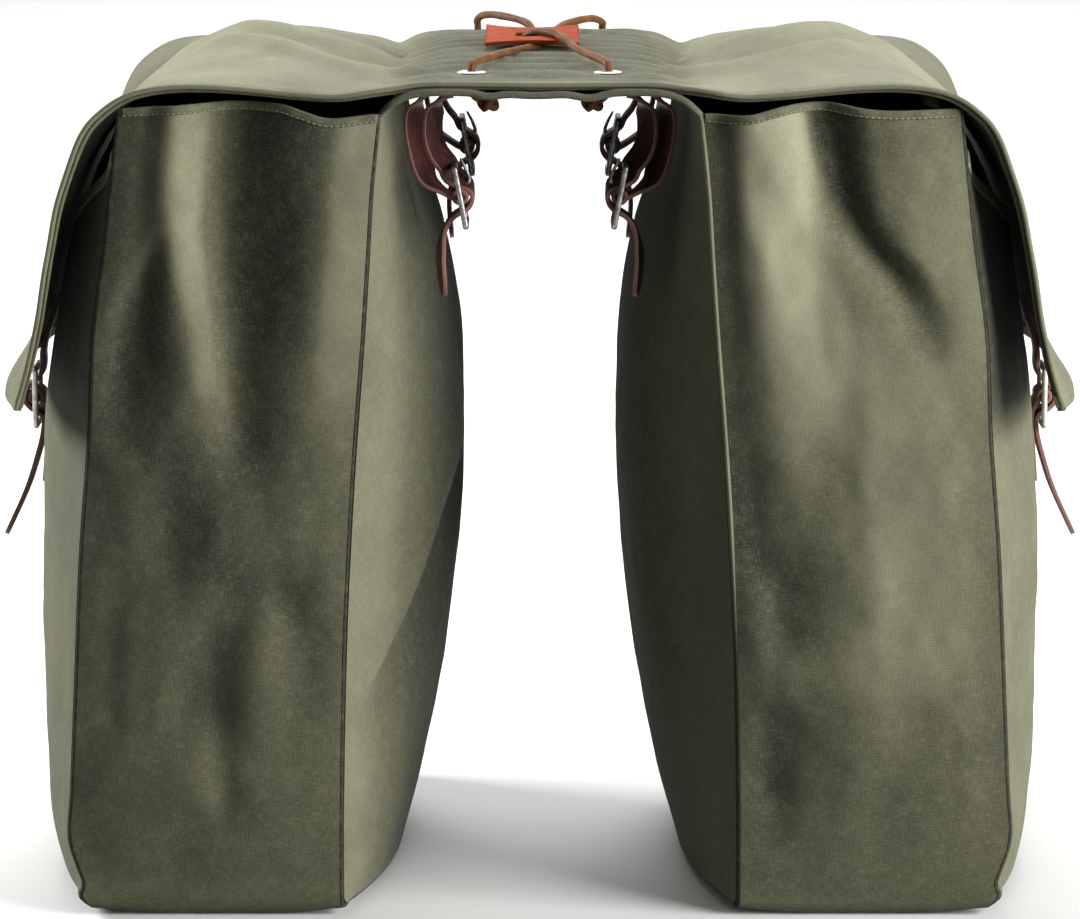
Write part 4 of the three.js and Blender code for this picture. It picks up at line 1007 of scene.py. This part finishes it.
strap = {"width": 20, "thickness": 2.4, "corner": 0.55, "chapeThickness": 2.2, "barRoom": 2.3, "tip": 12,
         "holes": 3, "firstHole": 21, "holePitch": 13, "holeSize": 1.5, "prongHole": 1.7, "step": 1.4,
         "holeCorners": 14, "punch": 9, "edgeBand": 0.3}
buckle = {"long": 33, "wide": 30, "wire": 3, "corner": 2.4, "soften": 1.15}
fastenings = {  # seat of each buckle, and the leather's way to and from it, across and up
    "rack": {"across": 39.9, "z": 361.7, "lean": 0.192, "facing": -1, "along": 118,
             "head": [(43.2, 412.3), (47.2, 411.4), (51, 408), (53.5, 400.9), (53.6, 390.9), (51, 382.9)],
             "tail": [(43.5, 350.9), (47.6, 343.9), (49.8, 330.9), (48.3, 310.4)],
             "chape": [(44, 414.7), (51, 414.5), (57.5, 411.9), (62, 404.9), (63.2, 395.9), (60.5, 380.9),
                       (56, 369.9), (50, 364.6)],
             "loop": (-20, 345)},
    "flap": {"across": 265.4, "z": 242, "lean": 0, "facing": 1, "along": 0,
             "head": [(253.4, 296), (255.9, 286), (259.6, 275), (261.8, 266)],
             "tail": [(262, 231), (262.2, 223), (265.2, 211), (271.5, 192), (283, 167)],
             "chape": [(261.6, 197), (260.4, 213), (259.2, 227), (259.8, 234)],
             "loop": (200, -100)}}
threading = {"forward": [-3.5, -2.2, 2, 5.2, 6, 5.2, 2], "up": [16, 11, 7, 3.8, 0, -3.8, -7]}
prong = {"forward": [2.7, 0.6, -2.2, -3.0, -2.2, 0.2, 2.2, 5.6, 5.4, 3.4],
         "up": [-1.2, -2.9, -2.0, 0, 2.1, 3.0, 3.4, 6, 11, 18], "radius": 1.1, "tip": 0.7, "step": 0.8}
# how the rear rack straps turn on their way down, and back again at the tail
twisted = {"turn": -25, "top": (411, -8), "foot": (362, 11), "tail": (346, -14), "back": 0.36}


def seatPoint(seat, forward, up):
    forward, up = np.asarray(forward, float) * seat["facing"], np.asarray(up, float)
    cosine, sine = math.cos(seat["lean"]), math.sin(seat["lean"])
    return np.stack([seat["across"] + forward * cosine + up * sine,
                     seat["z"] - forward * sine + up * cosine], -1)


def inPlane(line):  # a line across the bicycle, at mid length
    return np.stack([line[:, 0], np.zeros(len(line)), line[:, 1]], 1)


def leatherBand(name, line, thickness, roundTip=False, twist=0):
    line = inPlane(smoothLine(line, strap["step"]))
    profile = flatProfile(thickness, strap["width"], strap["corner"])
    narrow = np.ones(len(line))
    if roundTip:
        toTip = np.linalg.norm(line - line[-1], axis=1)
        narrow = np.sqrt(np.clip(1 - (1 - fade(toTip, strap["tip"])) ** 2, 0.02, 1))
    cutEdge = (np.abs(profile[:, 1]) > strap["width"] / 2 - strap["edgeBand"]) * 1.0
    z = line[:, 2]
    turn = ease(z, twisted["top"]) * ease(z, twisted["foot"]) - twisted["back"] * ease(z, twisted["tail"])
    swell = np.stack([np.ones(len(line)), narrow], 1)
    return makeTube(name, line, (0, 1, 0), profile, swell=swell, turn=twist * turn, mark=cutEdge)


def punch(piece, spot, direction, radius):
    deselect()
    facing = Vector(direction).to_track_quat("Z", "Y").to_euler()
    bpy.ops.mesh.primitive_cylinder_add(vertices=strap["holeCorners"], radius=radius * mm,
                                        depth=strap["punch"] * mm, location=Vector(spot) * mm,
                                        rotation=facing)
    cutter = bpy.context.object
    applyModifier(piece, "BOOLEAN", operation="DIFFERENCE", solver="EXACT", object=cutter)
    bpy.data.objects.remove(cutter)


def buildStrap(kind, seat, twist):
    line = np.vstack([seat["head"], seatPoint(seat, threading["forward"], threading["up"]), seat["tail"]])
    piece = leatherBand(kind + "Strap", line, strap["thickness"], True, twist)
    fine = inPlane(smoothLine(line, strap["step"]))
    fromTip = runAlong(fine[::-1])[1:]
    ahead = np.gradient(fine, axis=0)
    for hole in range(strap["holes"]):
        spot = len(fine) - 1 - int(np.searchsorted(fromTip, strap["firstHole"] + hole * strap["holePitch"]))
        punch(piece, fine[spot], np.cross(ahead[spot], (0, 1, 0)), strap["holeSize"])
    throughHole, slant = inPlane(seatPoint(seat, [4.0, 1.0], [5.4, 0.8]))
    punch(piece, throughHole, slant - inPlane(seatPoint(seat, [0.0], [0.0]))[0], strap["prongHole"])
    smoothShade(piece)
    return piece


def buildChape(kind, seat, twist):  # goes round the middle bar and back on itself
    angles = np.radians(np.linspace(*seat["loop"], 11))
    radius = strap["barRoom"] + strap["chapeThickness"] / 2
    loop = np.stack([seat["across"] + radius * np.cos(angles), seat["z"] + radius * np.sin(angles)], 1)
    line = np.vstack([seat["chape"], loop])
    return leatherBand(kind + "Chape", line, strap["chapeThickness"], False, twist)


def roundCorners():
    bpy.ops.mesh.bevel(offset=buckle["corner"] * mm, segments=4, affect="VERTICES")


def buildBuckle(kind, seat):  # a flat frame with a middle bar, cut from a grid
    piece, across, along = addGrid(kind + "Buckle", 3, 5)
    wide, long, wire = buckle["wide"] / 2, buckle["long"] / 2, buckle["wire"]
    x = np.interp(across, np.arange(4) / 3, [-wide, wire - wide, wide - wire, wide])
    y = np.interp(along, np.arange(6) / 5, [-long, wire - long, -wire / 2, wire / 2, long - wire, long])
    setPoints(piece, np.stack([x, y, 0 * x], 1))
    editWhere(piece, "FACE", lambda spot: abs(spot.x) < 2 and 4 < abs(spot.y) < 12, deletePicked)
    editWhere(piece, "VERT", lambda spot: abs(spot.x) > wide - 1 and abs(spot.y) > long - 1, roundCorners)
    applyModifier(piece, "SOLIDIFY", thickness=wire * mm, offset=0)
    softenEdges(piece, buckle["soften"], 3)
    points = places(piece) / mm
    upright = seatPoint(seat, points[:, 2], points[:, 1])
    setPoints(piece, np.stack([upright[:, 0], points[:, 0], upright[:, 1]], 1))
    editAll(piece, turnOutward)
    smoothShade(piece, 60)
    return piece


def buildProng(kind, seat):
    line = inPlane(smoothLine(seatPoint(seat, prong["forward"], prong["up"]), prong["step"]))
    thin = np.interp(np.linspace(0, 1, len(line)), [0, 0.6, 0.97, 1],
                     [1, 1, prong["tip"] / prong["radius"], 0.3])
    return makeTube(kind + "Prong", line, (0, 1, 0), roundProfile(prong["radius"], 10), swell=thin[:, None])


def copyTo(source, name, side, along):  # a copy with its own mesh, mirrored for the left side
    piece = source.copy()
    piece.data = source.data.copy()
    piece.name = name
    piece.data.name = name
    bpy.context.collection.objects.link(piece)
    piece.data.vertices.foreach_set("co", (places(piece) * (side, 1, 1) + (0, along * mm, 0)).ravel())
    piece.data.update()
    if side < 0:
        editAll(piece, bpy.ops.mesh.flip_normals)
    return piece


def buildFastenings():
    for kind, endName, end in (("rack", "rear", -1), ("rack", "front", 1), ("flap", "", 0)):
        seat = fastenings[kind]
        twist = math.radians(twisted["turn"]) if endName == "rear" else 0
        metal = flapMetal if kind == "flap" else buckleMetal
        parts = [("strap", buildStrap(kind, seat, twist), strapLeather, "strap_leather"),
                 ("chape", buildChape(kind, seat, twist), strapLeather, "strap_leather"),
                 ("buckle", buildBuckle(kind, seat), metal, "metal"),
                 ("prong", buildProng(kind, seat), metal, "metal")]
        for part, source, finish, slotName in parts:
            for sideName, side in bothSides:
                words = [word for word in (kind, part, endName, sideName) if word]
                name = kind + "".join(word.title() for word in words[1:])
                piece = copyTo(source, name, side, end * seat["along"])
                dress(piece, finish, slotName, "_".join(words))
                if endName == "rear" and finish == strapLeather:
                    piece.visible_shadow = False  # keeps a hard stripe off the inner side
            bpy.data.objects.remove(source)


buildFastenings()
print("pannier: straps buckled")


# Eyelets, laces and the patch they hold

eyelet = {"under": 416.0, "frontDrop": 1.5, "parting": 418, "corners": 28,  # rings: radius and height
          "rings": [(3.2, -0.4), (3.35, 0.5), (4.3, 0.98), (6.0, 0.9), (7.2, 0.5), (7.6, 0.0), (7.0, -0.15),
                    (4.6, -0.2)],
          "foot": [(4.6, 0.0), (6.6, 0.0), (6.8, -0.4), (6.1, -0.85), (4.4, -0.95), (3.3, -0.6)]}


def spinEyelet():
    across, along = float(lid["eyeletAcross"]), float(lid["eyeletAlong"])
    row = rowOf(lidLine["midX"], np.array([across]))
    top = lidPoint(row, 1.0, np.array([-along]))[0, 2] + lid["cloth"] / 2
    rings = [(radius, top + z) for radius, z in eyelet["rings"]]
    rings += [(radius, eyelet["under"] + z) for radius, z in eyelet["foot"]] + rings[:1]
    deselect()
    bpy.ops.mesh.primitive_circle_add(vertices=eyelet["corners"], radius=rings[0][0] * mm,
                                      fill_type="NOTHING")
    piece = bpy.context.object
    bpy.ops.object.mode_set(mode="EDIT")
    bpy.ops.mesh.select_all(action="SELECT")
    bpy.ops.transform.translate(value=(0, 0, rings[0][1] * mm))
    for (radius, z), (before, zBefore) in zip(rings[1:], rings):
        bpy.ops.mesh.extrude_edges_move(TRANSFORM_OT_translate={"value": (0, 0, (z - zBefore) * mm)})
        bpy.ops.transform.resize(value=(radius / before, radius / before, 1), center_override=(0, 0, 0))
    bpy.ops.object.mode_set(mode="OBJECT")
    editAll(piece, mergeDoubles, turnOutward)
    smoothShade(piece, 60)
    return piece


def buildEyelets():
    source = spinEyelet()
    for sideName, side in bothSides:
        for endName, end in (("rear", -1), ("front", 1)):
            name = "eyelet" + endName.title() + sideName.title()
            piece = copyTo(source, name, 1, end * lid["eyeletAlong"])
            points = places(piece) / mm
            points[:, 0] += side * lid["eyeletAcross"]
            points[:, 2] -= np.where(points[:, 2] > eyelet["parting"], eyelet["frontDrop"] * (end > 0), 0)
            setPoints(piece, points)
            dress(piece, eyeletMetal, "metal", "eyelet_" + endName + "_" + sideName)
    bpy.data.objects.remove(source)


buildEyelets()

lace = {"radius": 1.95, "corners": 16, "square": 0.8, "step": 1.6, "twist": 0.05, "uneven": 0.05,
        "unevenSteps": 7, "edgeBand": 0.45, "edgeWear": 0.55, "knot": 1.45, "knotCord": 1.8,
        "knotIn": 3, "knotDown": 1.6}
laceLines = {
    "over": [(29, -122.5, 409.4), (32.4, -124.4, 411.6), (34, -125, 416), (34, -125, 426.2),
             (31.2, -117, 429), (20, -76, 430.4), (12.6, -38, 432.6), (8.4, -22, 433.9), (2.4, -9, 434.2),
             (-3.6, -3.5, 433.2), (-7.8, 0.4, 430.6), (-8.2, 8, 428), (-6.6, 20, 428), (-4.6, 30, 428.6),
             (-4.2, 37, 431.4), (-6.6, 44, 434), (-12, 56, 435.3), (-19.5, 73, 435.6), (-26.3, 91, 435),
             (-31.6, 108, 433), (-34.2, 121, 429.4), (-34, 125, 425.8), (-34, 125, 416),
             (-32.4, 124.4, 411.6), (-29, 122.5, 409.4)],
    "under": [(-29, -122.5, 409.4), (-32.4, -124.4, 411.6), (-34, -125, 416), (-34, -125, 426),
              (-31.3, -117, 428.6), (-25.5, -98, 428.8), (-18.8, -70, 428.4), (-11.6, -46, 427.8),
              (-5, -29, 427.7), (0, -15, 427.8), (3.5, -4, 428), (5, 8, 428), (5.8, 20, 428.1),
              (6.6, 30, 428.6), (8.6, 38, 431), (14, 54, 433), (22.5, 84, 432.8), (29, 106, 431.6),
              (33.8, 120, 428.6), (34, 125, 425.4), (34, 125, 416), (32.4, 124.4, 411.6), (29, 122.5, 409.4)]}


def buildKnot(name, centre):
    turn = np.linspace(0, 2 * math.pi, 72, endpoint=False)
    shape = np.stack([np.sin(turn) + 2 * np.sin(2 * turn), np.cos(turn) - 2 * np.cos(2 * turn),
                      -1.5 * np.sin(3 * turn)], 1)
    cord = makeTube(name, centre + shape * lace["knot"], shape + (0, 0, 0.01),
                    roundProfile(lace["knotCord"], 10), True)
    return dress(cord, laceLeather, "lace")


def buildLaces():
    circle = roundProfile(1, lace["corners"])
    squarish = np.sign(circle) * np.abs(circle) ** lace["square"] * lace["radius"]
    nearEdge = np.abs(np.abs(circle[:, 0]) - np.abs(circle[:, 1])) < lace["edgeBand"]
    for which, way in (("over", 1), ("under", -1)):
        line = smoothLine(laceLines[which], lace["step"])
        count = np.arange(len(line))
        uneven = 1 + lace["uneven"] * rumple(count / lace["unevenSteps"], np.zeros(len(line)), 41)
        piece = makeTube("lace" + which.title(), line, (0.93 * way, -0.35, 0.1), squarish,
                         swell=uneven[:, None], turn=lace["twist"] * count, mark=nearEdge * lace["edgeWear"])
        dress(piece, laceLeather, "lace", "lace_" + which)
        for endName, end in (("Rear", line[0]), ("Front", line[-1])):
            centre = end + (np.sign(-end[0]) * lace["knotIn"], 0, -lace["knotDown"])
            buildKnot("laceKnot" + which.title() + endName, centre)


buildLaces()

patch = {"y": [-28.5, -22, 0, 15, 30], "z": [428.4, 429.9, 431.4, 432.4, 433.4],
         "arch": [2.2, 1.2, 0.2, -0.5, -1.2], "half": 24.4, "shift": -4, "cornerUp": 0.6, "uneven": 0.3,
         "leather": 2.0, "slotHalf": 9, "slotRear": -15, "slotFront": 4, "soften": 0.45,
         "rim": 1.6, "rimPaintedShade": 0.8, "wide": 46, "long": 60}


def buildPatch():
    piece, across, along = addGrid("lacePatch", 40, 40)
    row, spread = along * 4, 2 * across - 1
    x, y = patch["shift"] + spread * patch["half"], curveAt(patch["y"], row)
    z = curveAt(patch["z"], row) + curveAt(patch["arch"], row) * (1 - spread ** 2)
    z = z + patch["cornerUp"] * (np.abs(spread) * np.abs(2 * along - 1)) ** 3
    setPoints(piece, np.stack([x, y, z + patch["uneven"] * rumple(x / 12, y / 12, 51)], 1))
    spreadUv(piece, 2 * patch["half"], patch["long"])
    fromRim = np.minimum(np.minimum(across, 1 - across) * patch["wide"],
                         np.minimum(along, 1 - along) * patch["long"])
    # painted shade along the rim
    setWearAndPaintedLight(piece, np.clip(1 - fromRim / patch["rim"], 0, patch["rimPaintedShade"]))
    editWhere(piece, "FACE", lambda spot: abs(spot.x - patch["shift"]) < patch["slotHalf"]
              and patch["slotRear"] < spot.y < patch["slotFront"], deletePicked)
    applyModifier(piece, "SOLIDIFY", thickness=patch["leather"] * mm, offset=0)
    softenEdges(piece, patch["soften"], 2)
    smoothShade(piece, 40)
    dress(piece, patchLeather, "patch_leather", "lace_patch")


buildPatch()
print("pannier: lace tied over the patch")


# Floor and light

floorLook = {"size": 60, "back": 15, "colour": (0.86, 0.86, 0.855, 1), "roughness": 0.9}
lights = {
    "key": {"place": (1.97, -1.14, 0.86), "size": 1.5, "power": 102, "aim": (0.0, 0.0, 0.22)},
    "side": {"place": (-2.13, 0.78, 1.26), "size": 0.9, "power": 76, "aim": (0.0, 0.0, 0.22)},
    "over": {"place": (0.0, 1.5, 2.6), "size": 1.6, "power": 42, "aim": (0.0, 1.2, 0.0)},
    "back": {"place": (0.0, 4.4, 3.0), "size": 4.0, "power": 170, "aim": (0.0, 4.4, 0.0)}}
skyLight = 0.135


def setStage():
    deselect()
    bpy.ops.mesh.primitive_plane_add(size=floorLook["size"], location=(0, floorLook["back"], 0))
    floor = bpy.context.object
    floor.name = "floor"
    finish, tree, shader = newFinish("paleFloor")
    feed(tree, shader, {"Base Color": floorLook["colour"], "Roughness": floorLook["roughness"]})
    floor.data.materials.append(finish)
    floor.visible_diffuse = False  # keeps the floor's glow off the cloth


def setLights():
    for name, lamp in lights.items():
        deselect()
        bpy.ops.object.light_add(type="AREA", location=lamp["place"])
        light = bpy.context.object
        light.name = name + "Light"
        light.data.size = lamp["size"]
        light.data.energy = lamp["power"]
        aim = Vector(lamp["aim"]) - Vector(lamp["place"])
        light.rotation_euler = aim.to_track_quat("-Z", "Y").to_euler()
    world = bpy.data.worlds.new("studio")
    world.use_nodes = True
    feed(world.node_tree, world.node_tree.nodes["Background"], {"Color": (1, 1, 1, 1), "Strength": skyLight})
    bpy.context.scene.world = world
    bpy.context.scene.view_settings.view_transform = "Standard"


setStage()
setLights()
print("pannier: light set")
